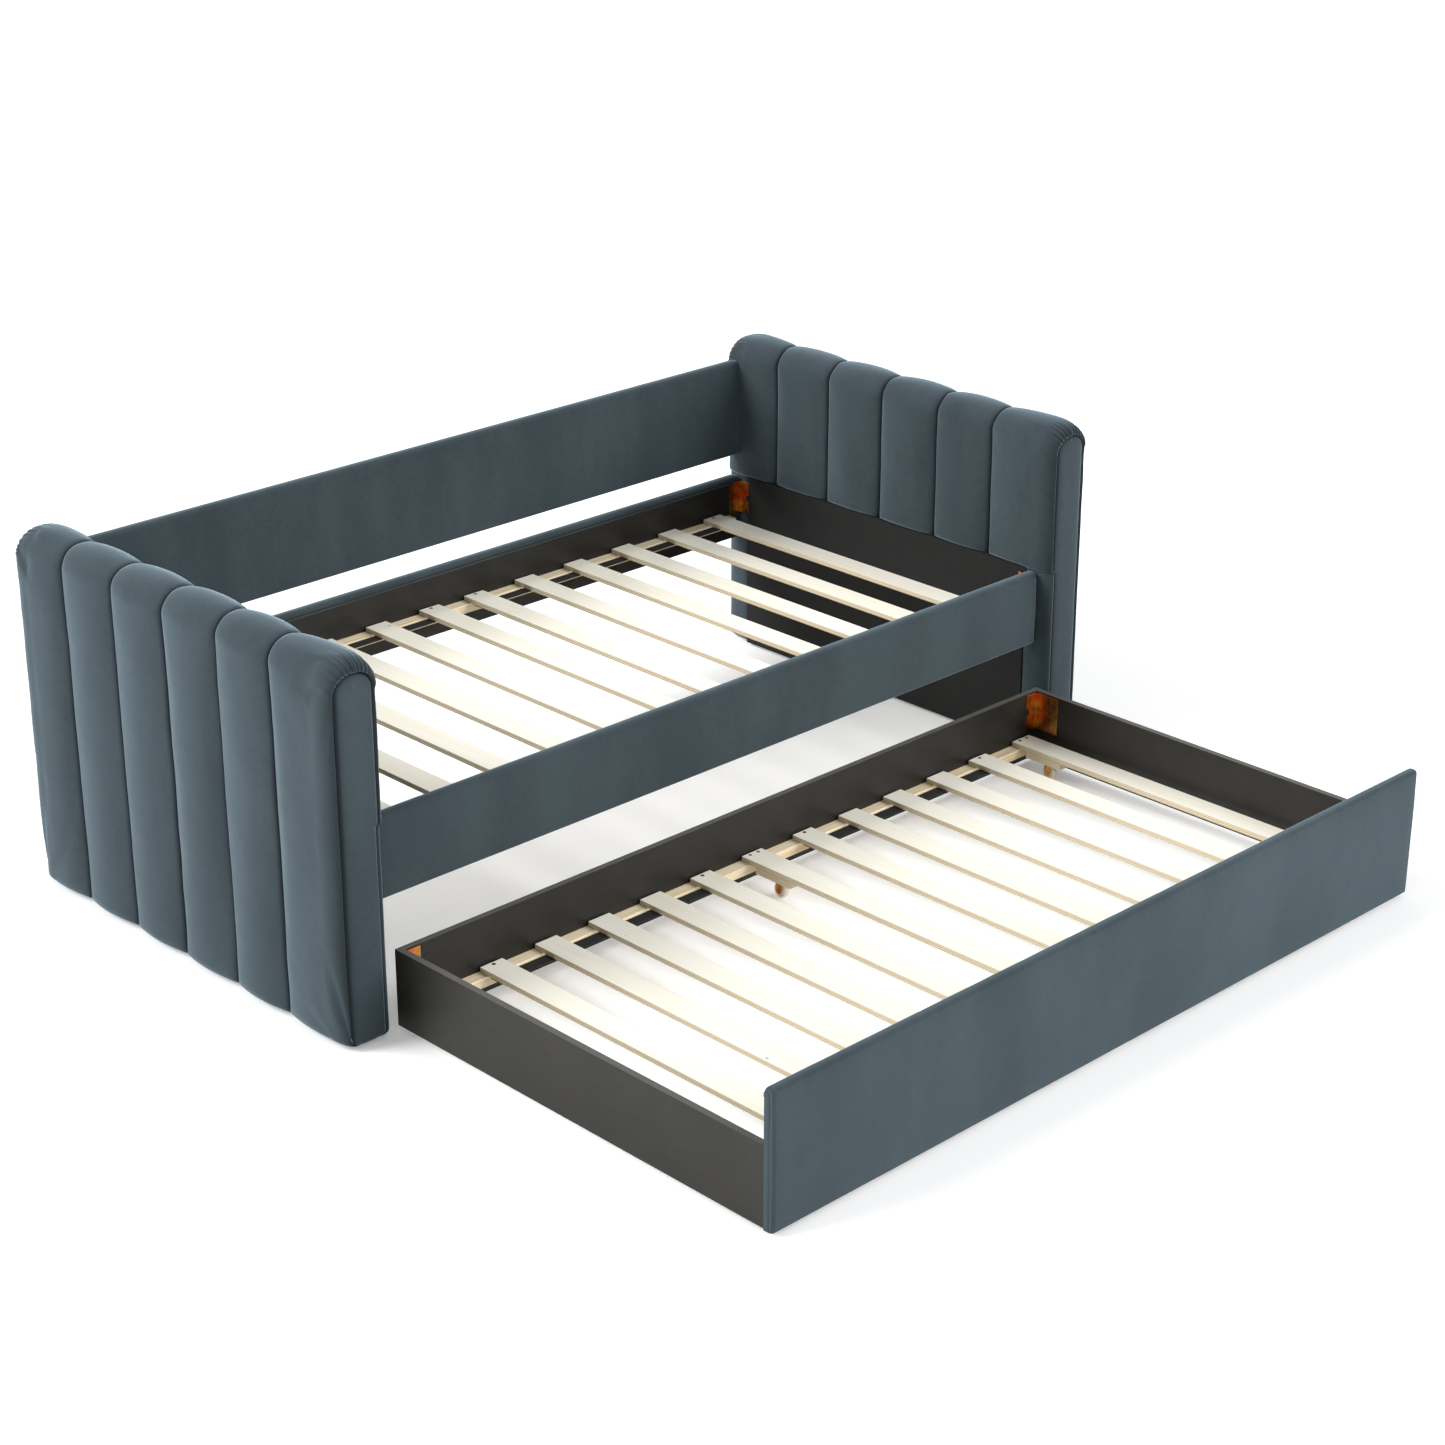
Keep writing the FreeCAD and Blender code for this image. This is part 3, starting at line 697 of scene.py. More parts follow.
# ---- upholstery -------------------------------------------------------------------------
@dataclass
class ArmCover:
    """Channelled velvet cover of one arm.

    It is worked out for an arm whose inner face is at X 0, with X growing outwards and Y from
    its front face backwards, and then put in its place. Sizes are in metres.
    """

    side: Side
    width: float
    depth: float
    top: float
    bottom: float
    lining_top: float
    lining_strip: float = 0.075
    seams: tuple[float, ...] = (0.202, 0.377, 0.559, 0.739, 0.918)
    pillow: float = 0.0155  # how far the channels stand over their seams
    inner_sunk: float = 0.009  # from the inner face to the seams
    outer_sunk: float = 0.0145
    top_sunk: float = 0.006
    inner_share: float = 1.1  # of the pillow on the inner side, over the lining
    top_share: float = 0.45
    top_round: float = 0.047
    bottom_round: float = 0.012
    tuck: float = 0.046  # how far the velvet reaches under the arm
    welt_side: float = 0.018  # from the edge to the seam of the end panels
    welt_top: float = 0.032
    seam_depth: float = 0.011  # of the seams round the end panels
    front_round: float = 0.052
    rear_round: float = 0.052
    gather: float = 0.0030
    gather_pitch: float = 0.0095
    turn_shade: float = 0.5  # painted shade where the velvet turns to the end seams, for the darker look of pile seen face on
    recess: float = 0.012  # of the cover behind the lining board
    end_round: float = 0.010  # of the lower edge at both ends
    end_rise: float = 0.86  # share of the pillow at both ends
    panel_back: float = 0.004  # how far the end panels' edges stand in from the ends
    front_bulge: float = 0.005  # of the front panel
    rear_bulge: float = 0.004
    channel_steps: int = 20  # rings over a channel
    arc_steps: int = 30  # stations round each half of the top
    arc_pitch: float = 0.0026  # between stations there
    stray: float = 0.0030  # how far the seams stray from straight
    pressure: float = 4.0  # of the padding on the cloth
    most_swell: float = 0.0045

    def path(self) -> list[tuple[str, float]]:
        """Lays out the stations round the section.

        Returns:
            From under the inner side over the top to under the outer side, the part of the
            section and the height there, or the share of the way along it.
        """
        inner_low = self.bottom + self.bottom_round
        side_top = self.top - self.top_sunk - self.top_round
        near = [self.lining_top + step for step in (-0.004, -0.0005, 0.0005, 0.002, 0.005, 0.010)]
        stations = [("under_in", 0.0), ("under_in", 0.5)]
        stations += [("low_in", share / 4.0) for share in range(4)]
        stations += [("in", z) for z in spaced(inner_low, near[0] - 0.006, 0.016)]
        stations += [("in", z) for z in near]
        stations += [("in", z) for z in spaced(near[-1] + 0.008, side_top, 0.012)[:-1]]
        stations += [("arc_in", share / self.arc_steps) for share in range(self.arc_steps)]
        stations += [("flat", share / 4.0) for share in range(4)]
        stations += [("arc_out", share / self.arc_steps) for share in range(self.arc_steps)]
        stations += [("out", z) for z in spaced(side_top, inner_low, 0.012)]
        stations += [("low_out", share / 4.0) for share in range(1, 5)]
        stations += [("under_out", 0.5), ("under_out", 1.0)]
        return stations

    def outline(
        self, kind: str, at: float, inset: float, top_inset: float
    ) -> tuple[Vector, Vector]:
        """A point of the section at the level of the seams, and the way out from it.

        Args:
            kind: the part of the section.
            at: height on the sides, or share of the way along elsewhere.
            inset: how far the sides stand in, as they do in the end panels.
            top_inset: how far the top stands in.

        Returns:
            The point as X and Z, and the outward direction.
        """
        middle = self.width / 2.0
        low_x = min(self.inner_sunk + inset, middle)
        high_x = max(self.width - self.outer_sunk - inset, middle)
        top = self.top - self.top_sunk - top_inset
        bend = min(max(self.top_round - 0.8 * inset, 0.004), (high_x - low_x) / 2.0 + 1e-5)
        full_side = self.top - self.top_sunk - self.top_round
        held = self.lining_top + 0.03
        foot = self.bottom_round
        inward = min(self.tuck, middle - low_x)

        def height(z: float) -> float:
            """Height of a station on a side once the top has come down."""
            share = max(0.0, (z - held) / (full_side - held))
            return z + share * (top - bend - full_side)

        turn = math.pi / 2.0 * at
        if kind == "under_in":
            return Vector((low_x + foot + inward * (1.0 - at), self.bottom)), Vector((0.0, -1.0))
        if kind == "under_out":
            return Vector((high_x - foot - inward * at, self.bottom)), Vector((0.0, -1.0))
        if kind == "low_in":
            way = Vector((-math.sin(turn), -math.cos(turn)))
            return Vector((low_x + foot, self.bottom + foot)) + foot * way, way
        if kind == "low_out":
            way = Vector((math.cos(turn), -math.sin(turn)))
            return Vector((high_x - foot, self.bottom + foot)) + foot * way, way
        if kind == "in":
            return Vector((low_x, height(at))), Vector((-1.0, 0.0))
        if kind == "out":
            return Vector((high_x, height(at))), Vector((1.0, 0.0))
        if kind == "flat":
            start, end = low_x + bend, high_x - bend
            return Vector((start + (end - start) * at, top)), Vector((0.0, 1.0))
        if kind == "arc_in":
            way = Vector((-math.cos(turn), math.sin(turn)))
            return Vector((low_x + bend, top - bend)) + bend * way, way
        way = Vector((math.sin(turn), math.cos(turn)))
        return Vector((high_x - bend, top - bend)) + bend * way, way

    def rings(self) -> list[dict[str, float]]:
        """The rings from the rear panel's middle over the channels to the front panel's middle.

        Returns:
            For each ring its y, its inset, its share of the pillow, how deep in a fold it is and so
            how much painted shade it takes, how much it follows a seam's line, which seam that is,
            and how far it is gathered.
        """
        made: list[dict[str, float]] = []

        def ring(y: float, inset: float = 0.0, rise: float = 0.0, **more: float) -> None:
            """Adds one ring."""
            plain = dict.fromkeys(("crease", "follow", "seam", "gather", "panel"), 0.0)
            made.append({"y": y, "inset": inset, "rise": rise, **plain, **more})

        half = self.width / 2.0
        edges = (0.0, *self.seams, self.depth)
        panel = [0.0022, 0.006, 0.012, 0.024, 0.034, half - self.welt_side]
        turns = [i / 9.0 * math.pi / 2.0 for i in range(10)]
        for step in reversed(panel):
            bulge = self.rear_bulge * (1.0 - math.exp(-step / 0.006))
            # painted shade next to the rear panel's seam, fading over a few millimetres
            seam_shade = math.exp(-step / 0.004)
            y = self.depth - self.panel_back + bulge
            ring(y, self.welt_side + step, crease=seam_shade, panel=1.0)
        # painted shade along the seam round the rear panel
        ring(self.depth - self.seam_depth, self.welt_side, crease=1.0, panel=1.0)
        for turn in turns:
            y = self.depth - self.rear_round * (1.0 - math.cos(turn))
            inset = (self.welt_side - 0.0015) * (1.0 - math.sin(turn))
            ring(y, inset, self.end_rise, gather=math.cos(turn) ** 1.5)
        for number in range(len(edges) - 2, -1, -1):
            low, high = edges[number], edges[number + 1]
            first = number == 0
            last = number == len(edges) - 2
            for i in range(self.channel_steps):
                t = math.cos(math.pi * i / self.channel_steps)
                y = (low + high) / 2.0 + (high - low) / 2.0 * t
                if (last and y > self.depth - self.rear_round) or (first and y < self.front_round):
                    continue
                # painted shade along each channel seam, fading over a few millimetres
                reach = min(y - low, high - y)
                ring(
                    y,
                    rise=self.swell(t, first, last),
                    crease=math.exp(-reach / 0.0032) if reach < 0.012 else 0.0,
                    follow=abs(t) ** 6,
                    seam=float(number + (1 if t > 0.0 else 0)),
                )
        for turn in reversed(turns):
            y = self.front_round * (1.0 - math.cos(turn))
            inset = (self.welt_side - 0.0015) * (1.0 - math.sin(turn))
            ring(y, inset, self.end_rise, gather=math.cos(turn) ** 1.5)
        # painted shade along the seam round the front panel
        ring(self.seam_depth, self.welt_side, crease=1.0, panel=1.0, gather=0.6)
        for step in panel:
            bulge = self.front_bulge * (1.0 - math.exp(-step / 0.006))
            # painted shade next to the front panel's seam, fading over a few millimetres
            seam_shade = math.exp(-step / 0.004)
            ring(self.panel_back - bulge, self.welt_side + step, crease=seam_shade, panel=1.0)
        return made

    def swell(self, t: float, first: bool, last: bool) -> float:
        """How far the pillow stands up across a channel.

        Args:
            t: place in the channel, from -1 at its front seam to 1 at its rear one.
            first: whether it is the front channel, which has no seam in front.
            last: whether it is the rear channel, which has none behind.

        Returns:
            The share of the pillow.
        """
        soft = max(0.0, 1.0 - t * t) ** 0.7
        at_end = (first and t < 0.0) or (last and t > 0.0)
        return max(soft, self.end_rise) if at_end else soft

    def build(self, name: str) -> bpy.types.Object:
        """Builds the cover in its place.

        Args:
            name: the object's name.

        Returns:
            The cover.
        """
        stations = self.path()
        rings = self.rings()
        points = np.zeros((len(rings), len(stations), 3))
        crease = np.zeros((len(rings), len(stations)))
        sewn = np.zeros((len(rings), len(stations)))
        half = self.width / 2.0
        for row, ring in enumerate(rings):
            inset, panel = ring["inset"], ring["panel"] > 0.0
            rise, spread = ring["rise"], 1.0
            if panel:
                spread = max(0.0, (half - inset) / (half - self.welt_side))
                rise = self.end_rise * spread
            top_inset = min(inset, self.welt_side) * self.welt_top / self.welt_side
            top_inset += max(0.0, inset - self.welt_side)
            for column, (kind, at) in enumerate(stations):
                spot, way = self.outline(kind, at, inset, top_inset)
                y = ring["y"]
                below_hem = kind == "in" and at < self.lining_top
                low_inside = kind in ("under_in", "low_in") or below_hem
                over_lining = self.lining_strip < y < self.depth - self.lining_strip
                hidden = low_inside and over_lining
                hem = kind == "in" and abs(at - self.lining_top) < 0.0012 and not over_lining
                sag = ring["crease"]
                if low_inside and not panel:
                    sag = 0.0
                # painted shade along the hem over the lining; it also sinks the velvet there a
                # little
                elif hem and not panel:
                    sag = max(sag, 0.75)
                out = self.stand(kind, at, rise, over_lining, panel)
                if not (low_inside or kind.startswith("under")):
                    y += self.seam_line(ring["seam"], column) * ring["follow"]
                if not hidden:
                    out += self.softness(spot, y) * (1.0 - sag) * spread
                    out -= 0.0 if panel else 0.005 * sag
                if kind in ("arc_in", "arc_out", "flat"):
                    fold = self.gathers(column) * ring["gather"]
                    out += fold
                    y += fold * (-1.0 if y < self.depth / 2.0 else 1.0)
                    # painted shade in the folds of the gathers
                    sag += max(0.0, -fold / self.gather) * 0.6
                if inset > 0.0 and spot.y < self.bottom + self.end_round:
                    lift = 1.0 - (spot.y - self.bottom) / self.end_round
                    tuck = 0.7 * self.end_round * (1.0 - math.sqrt(max(0.0, 1.0 - lift * lift)))
                    y += tuck if y < self.depth / 2.0 else -tuck
                place = spot + way * out
                if kind.startswith("low"):
                    place.y = spot.y
                points[row, column] = (place.x, y, place.y)
                # painted shade where the cover turns to the end seams; the per-vertex shade takes
                # the larger of this and the fold value
                nap = 0.0 if low_inside or panel else self.turn_shade * ring["gather"]
                crease[row, column] = min(1.0, max(sag, nap))
                held = low_inside or hem or kind.startswith(("under", "low")) or sag > 0.25
                near_hem = kind == "in" and at < self.lining_top + 0.006
                sewn[row, column] = float(held or near_hem or panel)
        points[..., 0] *= self.side.value
        low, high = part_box(f"{self.side.name.lower()}_arm_cover")
        inner_x = low.x if self.side is Side.RIGHT else high.x
        points += np.array([inner_x, low.y, 0.0])
        piece = grid_object(name, points, {"crease": crease, "sewn": sewn})
        middle = inner_x + self.side.value * half
        tidy_mesh(piece, lambda point: Vector((point.x - middle, 0.0, 0.0)))
        return piece

    def stand(self, kind: str, at: float, rise: float, over_lining: bool, panel: bool) -> float:
        """How far the cover stands out from the level of its seams.

        Args:
            kind: the part of the section.
            at: height on the sides, or share of the way along elsewhere.
            rise: share of the pillow at this ring.
            over_lining: whether the lining board is at this ring.
            panel: whether the ring is in an end panel.

        Returns:
            The distance in metres.
        """
        full = self.pillow * rise
        if kind.startswith("under"):
            return 0.0008
        flush = self.inner_sunk - (self.recess if over_lining else 0.0005)
        if kind == "low_in" or (kind == "in" and at < self.lining_top):
            return flush if not panel else min(flush, full)
        if kind == "in":
            lift = min(1.0, (at - self.lining_top) / 0.010)
            curl = math.sqrt(max(0.0, 1.0 - (1.0 - lift) ** 2))
            start = self.inner_sunk - (self.recess if over_lining else 0.003)
            goal = full * self.inner_share
            return start + (goal - start) * curl if not panel else goal
        if kind == "out":
            return full
        if kind == "low_out":
            return full * (1.0 - 0.2 * at)
        if kind == "flat":
            return full * self.top_share
        edge = self.inner_share if kind == "arc_in" else 1.0
        up = at if kind == "arc_in" else 1.0 - at
        return full * (edge + (self.top_share - edge) * float(ease(up, 0.0, 1.0)))

    @staticmethod
    def softness(spot: Vector, y: float) -> float:
        """Unevenness of the stuffing at a place, in metres."""
        broad = wander((spot.x, y, spot.y), 0.11)
        return 0.0012 * broad + 0.0005 * wander((y, spot.y, spot.x), 0.035)

    def gathers(self, column: int) -> float:
        """Height of the gathered velvet round the top of an end.

        Args:
            column: number of the station.

        Returns:
            The height in metres, below 0 in a fold.
        """
        along = column * self.arc_pitch
        phase = along / self.gather_pitch + 0.9 * wander((along, 3.1, 0.0), 0.03)
        fold = 1.0 - 2.0 * abs(math.sin(math.pi * phase)) ** 0.7
        return -self.gather * fold * (0.75 + 0.5 * wander((along, 0.0, 5.0), 0.05))

    def seam_line(self, seam: float, column: int) -> float:
        """How far a seam strays from straight at a station, in metres."""
        return self.stray * wander((column * 0.013, seam * 3.7, 1.3), 0.16)


@dataclass
class WrappedBoard:
    """Velvet wrapped over a board that runs along the beds.

    Sizes are in metres. Depths are counted from the padded face, which faces along `out`.
    """

    name: str
    node: str
    out: float  # -1 where the padded face faces the front, 1 where it faces the back
    top_round: float = 0.0135
    bottom_round: float = 0.005
    belly: float = 0.0018
    turn_down: float = 0.017  # of the velvet over the top onto the bare face
    all_round: bool = False
    folded_ends: bool = False
    end_round: float = 0.015
    end_fall: float = 0.012  # of the top at the ends
    pressure: float = 2.0  # of the padding on the cloth
    most_swell: float = 0.002
    pitch: float = 0.014  # between stations on the faces

    def section(self, height: float, thick: float) -> list[tuple[float, float, float]]:
        """Depth, height and belly share of each station of the section.

        Args:
            height: of the piece.
            thick: the piece's thickness.

        Returns:
            The stations, from under the piece up its padded face and over the top.
        """
        arc = [i / 8.0 * math.pi / 2.0 for i in range(9)]
        low, bend = self.bottom_round, self.top_round
        back_bend = min(bend, thick - bend - 0.001)
        path = [(thick - 0.003, 0.0, 0.0), (thick * 0.6, 0.0, 0.0)]
        path += [(low - low * math.sin(a), low - low * math.cos(a), 0.0) for a in arc]
        span = spaced(low, height - bend, self.pitch)[1:-1]
        path += [(0.0, z, math.sin(math.pi * (z - low) / (height - bend - low))) for z in span]
        path += [(bend - bend * math.cos(a), height - bend + bend * math.sin(a), 0.0) for a in arc]
        back, up = thick - back_bend, height - back_bend
        path += [(back + back_bend * math.sin(a), up + back_bend * math.cos(a), 0.0) for a in arc]
        if self.all_round:
            rear = spaced(up, low, self.pitch)[1:-1]
            path += [(thick, z, math.sin(math.pi * z / height)) for z in rear]
            path += [(thick - low + low * math.cos(a), low - low * math.sin(a), 0.0) for a in arc]
        else:
            end = height - self.turn_down
            hanging = spaced(up - 0.001, end + 0.001, 0.004)
            path += [(thick + 0.0012, z, 0.0) for z in hanging]
            path += [(thick + 0.0009, end, 0.0), (thick - 0.002, end - 0.0002, 0.0)]
        return path

    def build(self) -> bpy.types.Object:
        """Builds the wrap in its place.

        Returns:
            The wrap.
        """
        low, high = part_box(self.node)
        height, thick = high.z - low.z, high.y - low.y
        stations = self.section(height, thick)
        face = low.y if self.out < 0.0 else high.y
        ends = [self.end_round * (1.0 - math.cos(i / 6.0 * math.pi / 2.0)) for i in range(7)]
        run = spaced(low.x + self.end_round, high.x - self.end_round, 0.02)
        xs = [low.x + e for e in ends[:-1]] + run + [high.x - e for e in reversed(ends[:-1])]
        points = np.zeros((len(xs), len(stations), 3))
        crease = np.zeros((len(xs), len(stations)))
        sewn = np.ones((len(xs), len(stations)))
        for row, x in enumerate(xs):
            edge = min(x - low.x, high.x - x)
            share = max(0.0, 1.0 - edge / self.end_round)
            drop = self.end_round * (1.0 - math.sqrt(max(0.0, 1.0 - share * share)))
            for column, (depth, z, belly) in enumerate(stations):
                soft = wander((x, z, self.out), 0.19) * 0.0009 + wander((x, z, 7.0), 0.05) * 0.0004
                outward = belly * self.belly + soft * (0.4 + belly)
                pull = min(drop, 0.006)
                back = depth > thick / 2.0
                away = (1.0 if self.all_round else 0.0) if back else -1.0
                inward = depth + (outward - pull) * away
                fall = min(drop, self.end_fall) * float(ease(z, height * 0.55, height))
                points[row, column] = (x, face - self.out * inward, low.z + z - fall)
                bare_back = back and not self.all_round
                sewn[row, column] = float(bare_back or edge < 0.012 or belly < 0.05)
        if self.all_round or self.folded_ends:
            goal = face - self.out * thick * (0.5 if self.all_round else 1.0)
            points, crease, sewn = self.closed(points, crease, sewn, goal)
        piece = grid_object(self.name, points, {"crease": crease, "sewn": sewn})
        centre_y, centre_z = (low.y + high.y) / 2.0, (low.z + high.z) / 2.0
        tidy_mesh(piece, lambda point: Vector((0.0, point.y - centre_y, point.z - centre_z)))
        return piece

    @staticmethod
    def closed(
        points: np.ndarray, crease: np.ndarray, sewn: np.ndarray, goal: float
    ) -> tuple[np.ndarray, np.ndarray, np.ndarray]:
        """Adds the folded ends of a wrap.

        Args:
            points: rows of points along the piece.
            crease: how much painted shade each point gets in the folds.
            sewn: which points are held.
            goal: Y of the line that the folds close on.

        Returns:
            The three arrays with the rows of the ends added.
        """
        for end in (0, -1):
            base = points[end]
            top = base[:, 2].max()
            near_top = base[:, 2] > top - 0.07
            for share, fold in ((0.86, 0.0), (0.78, 0.8), (0.7, 0.0), (0.35, 0.0), (0.0, 0.0)):
                row = base.copy()
                row[:, 1] = goal + (base[:, 1] - goal) * share
                row[:, 2] -= np.maximum(0.0, base[:, 2] - (top - 0.012)) * (1.0 - share) * 0.8
                row[:, 0] += 0.0015 * fold * (1.0 if end == 0 else -1.0)
                # painted shade in the folds of the ends, stronger near the top
                added = (row, np.where(near_top, fold, 0.4 * fold), np.ones(len(row)))
                kept = []
                for whole, extra in zip((points, crease, sewn), added):
                    parts = [extra[None], whole] if end == 0 else [whole, extra[None]]
                    kept.append(np.concatenate(parts))
                points, crease, sewn = kept
        return points, crease, sewn


CLOTH_FRAMES = 16


def inflate(piece: bpy.types.Object, pressure: float, cap: float) -> None:
    """Blows the padding up under its cover as cloth, and keeps the result in the mesh.

    Args:
        piece: the cover; its "sewn" attribute is 1 where it is held.
        pressure: of the padding on the cloth.
        cap: the furthest that a point may move, in metres.
    """
    count = len(piece.data.vertices)
    held = np.zeros(count, dtype=np.float32)
    piece.data.attributes["sewn"].data.foreach_get("value", held)
    group = piece.vertex_groups.new(name="held")
    group.add(np.flatnonzero(held > 0.5).tolist(), 1.0, "REPLACE")
    modifier = piece.modifiers.new("cloth", "CLOTH")
    cloth = modifier.settings
    cloth.vertex_group_mass = "held"
    cloth.quality = 4
    cloth.mass = 0.3
    cloth.tension_stiffness = cloth.compression_stiffness = 18.0
    cloth.shear_stiffness = 8.0
    cloth.bending_stiffness = 0.6
    cloth.use_pressure = True
    cloth.uniform_pressure_force = pressure
    cloth.effector_weights.gravity = 0.0
    before = np.zeros(count * 3, dtype=np.float32)
    after = np.zeros(count * 3, dtype=np.float32)
    piece.data.vertices.foreach_get("co", before)
    scene = bpy.context.scene
    for number in range(1, CLOTH_FRAMES + 1):
        scene.frame_set(number)
    blown = piece.evaluated_get(bpy.context.evaluated_depsgraph_get())
    blown.data.vertices.foreach_get("co", after)
    piece.modifiers.remove(modifier)
    piece.vertex_groups.remove(group)
    scene.frame_set(1)
    move = (after - before).reshape(-1, 3)
    length = np.linalg.norm(move, axis=1, keepdims=True)
    kept = move * cap * np.tanh(length / cap) / np.maximum(length, 1e-9)
    piece.data.vertices.foreach_set("co", (before.reshape(-1, 3) + kept).astype(np.float32).ravel())
    piece.data.update()
    LOG.info("%s swelled by up to %.1f mm", piece.name, 1000.0 * float(length.max()))


# ---- turned pieces ----------------------------------------------------------------------
@dataclass
class CasterWheel:
    """Moulded wheel with a crowned tread, a dished web and a hub."""

    node: str
    crown: float = 0.0016
    hub: float = 0.0075
    bore: float = 0.0032
    rim: float = 0.0045
    dish: float = 0.0032
    shoulder: float = 0.0024

    def build(self) -> bpy.types.Object:
        """Builds the wheel in its place.

        Returns:
            The wheel.
        """
        low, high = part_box(self.node)
        radius, half = (high.z - low.z) / 2.0, (high.x - low.x) / 2.0
        inner = radius - self.rim
        side = [(-half, self.bore), (-half, self.hub), (-half + 0.0006, self.hub + 0.0006)]
        side += [(-half + self.dish, self.hub + 0.0012), (-half + self.dish, inner - 0.001)]
        side += [(-half + 0.0006, inner), (-half, inner + 0.0008), (-half, radius - 0.0034)]
        for i in range(1, 7):
            turn = i / 6.0 * math.pi / 2.0
            reach = radius - self.crown - self.shoulder + self.shoulder * math.sin(turn)
            side.append((-half + self.shoulder * (1.0 - math.cos(turn)), reach))
        across = spaced(-half * 0.55, 0.0, 0.0015)
        tread = [(x, radius - self.crown * (x / half) ** 2) for x in across]
        left = side + tread
        outline = left + [(-x, r) for x, r in reversed(left[:-1])]
        outline.append(outline[0])
        return lathe(f"{self.node}_moulding", outline, "X", (low + high) / 2.0)


@dataclass
class Glide:
    """Moulded glide under an arm."""

    name: str
    centre: Vector
    radius: float
    height: float
    lip: float = 0.0022

    def build(self) -> bpy.types.Object:
        """Builds the glide in its place.

        Returns:
            The glide.
        """
        inner = self.radius - self.lip
        outline = [(0.0, 0.0), (0.0, inner)]
        for i in range(1, 6):
            turn = i / 5.0 * math.pi / 2.0
            outline.append((self.lip * (1.0 - math.cos(turn)), inner + self.lip * math.sin(turn)))
        outline += [(self.height * 0.6, self.radius), (self.height * 0.72, self.radius * 0.9)]
        outline += [(self.height, self.radius * 0.86), (self.height, 0.0)]
        return lathe(self.name, outline, "Z", self.centre)


# ---- the bed ----------------------------------------------------------------------------
class Finishes:
    """Every finish of the bed, by the record's material slot."""

    def __init__(self) -> None:
        """Makes the materials."""
        foot = Moulded("foot_plastic", (0.018, 0.018, 0.018), (0.06, 0.058, 0.055), 0.4)
        wheel = Moulded("wheel_nylon", (0.78, 0.74, 0.63), (0.62, 0.57, 0.46), 0.34)
        self.by_slot: dict[str, bpy.types.Material] = {
            "velvet": Velvet().make(),
            "black_lining": Lining().make(),
            "black_board": BlackBoard().make(),
            "frame_timber": Softwood().make(),
            "slat_wood": SlatWood().make(),
            "webbing": Webbing().make(),
            "zinc_steel": Zinc().make(),
            "dark_screw": DarkScrew().make(),
            "foot_plastic": foot.make(),
            "wheel_nylon": wheel.make(),
        }

    def dress(self, piece: bpy.types.Object, slot: str) -> None:
        """Gives a piece the material of a slot."""
        piece.data.materials.clear()
        piece.data.materials.append(self.by_slot[slot])


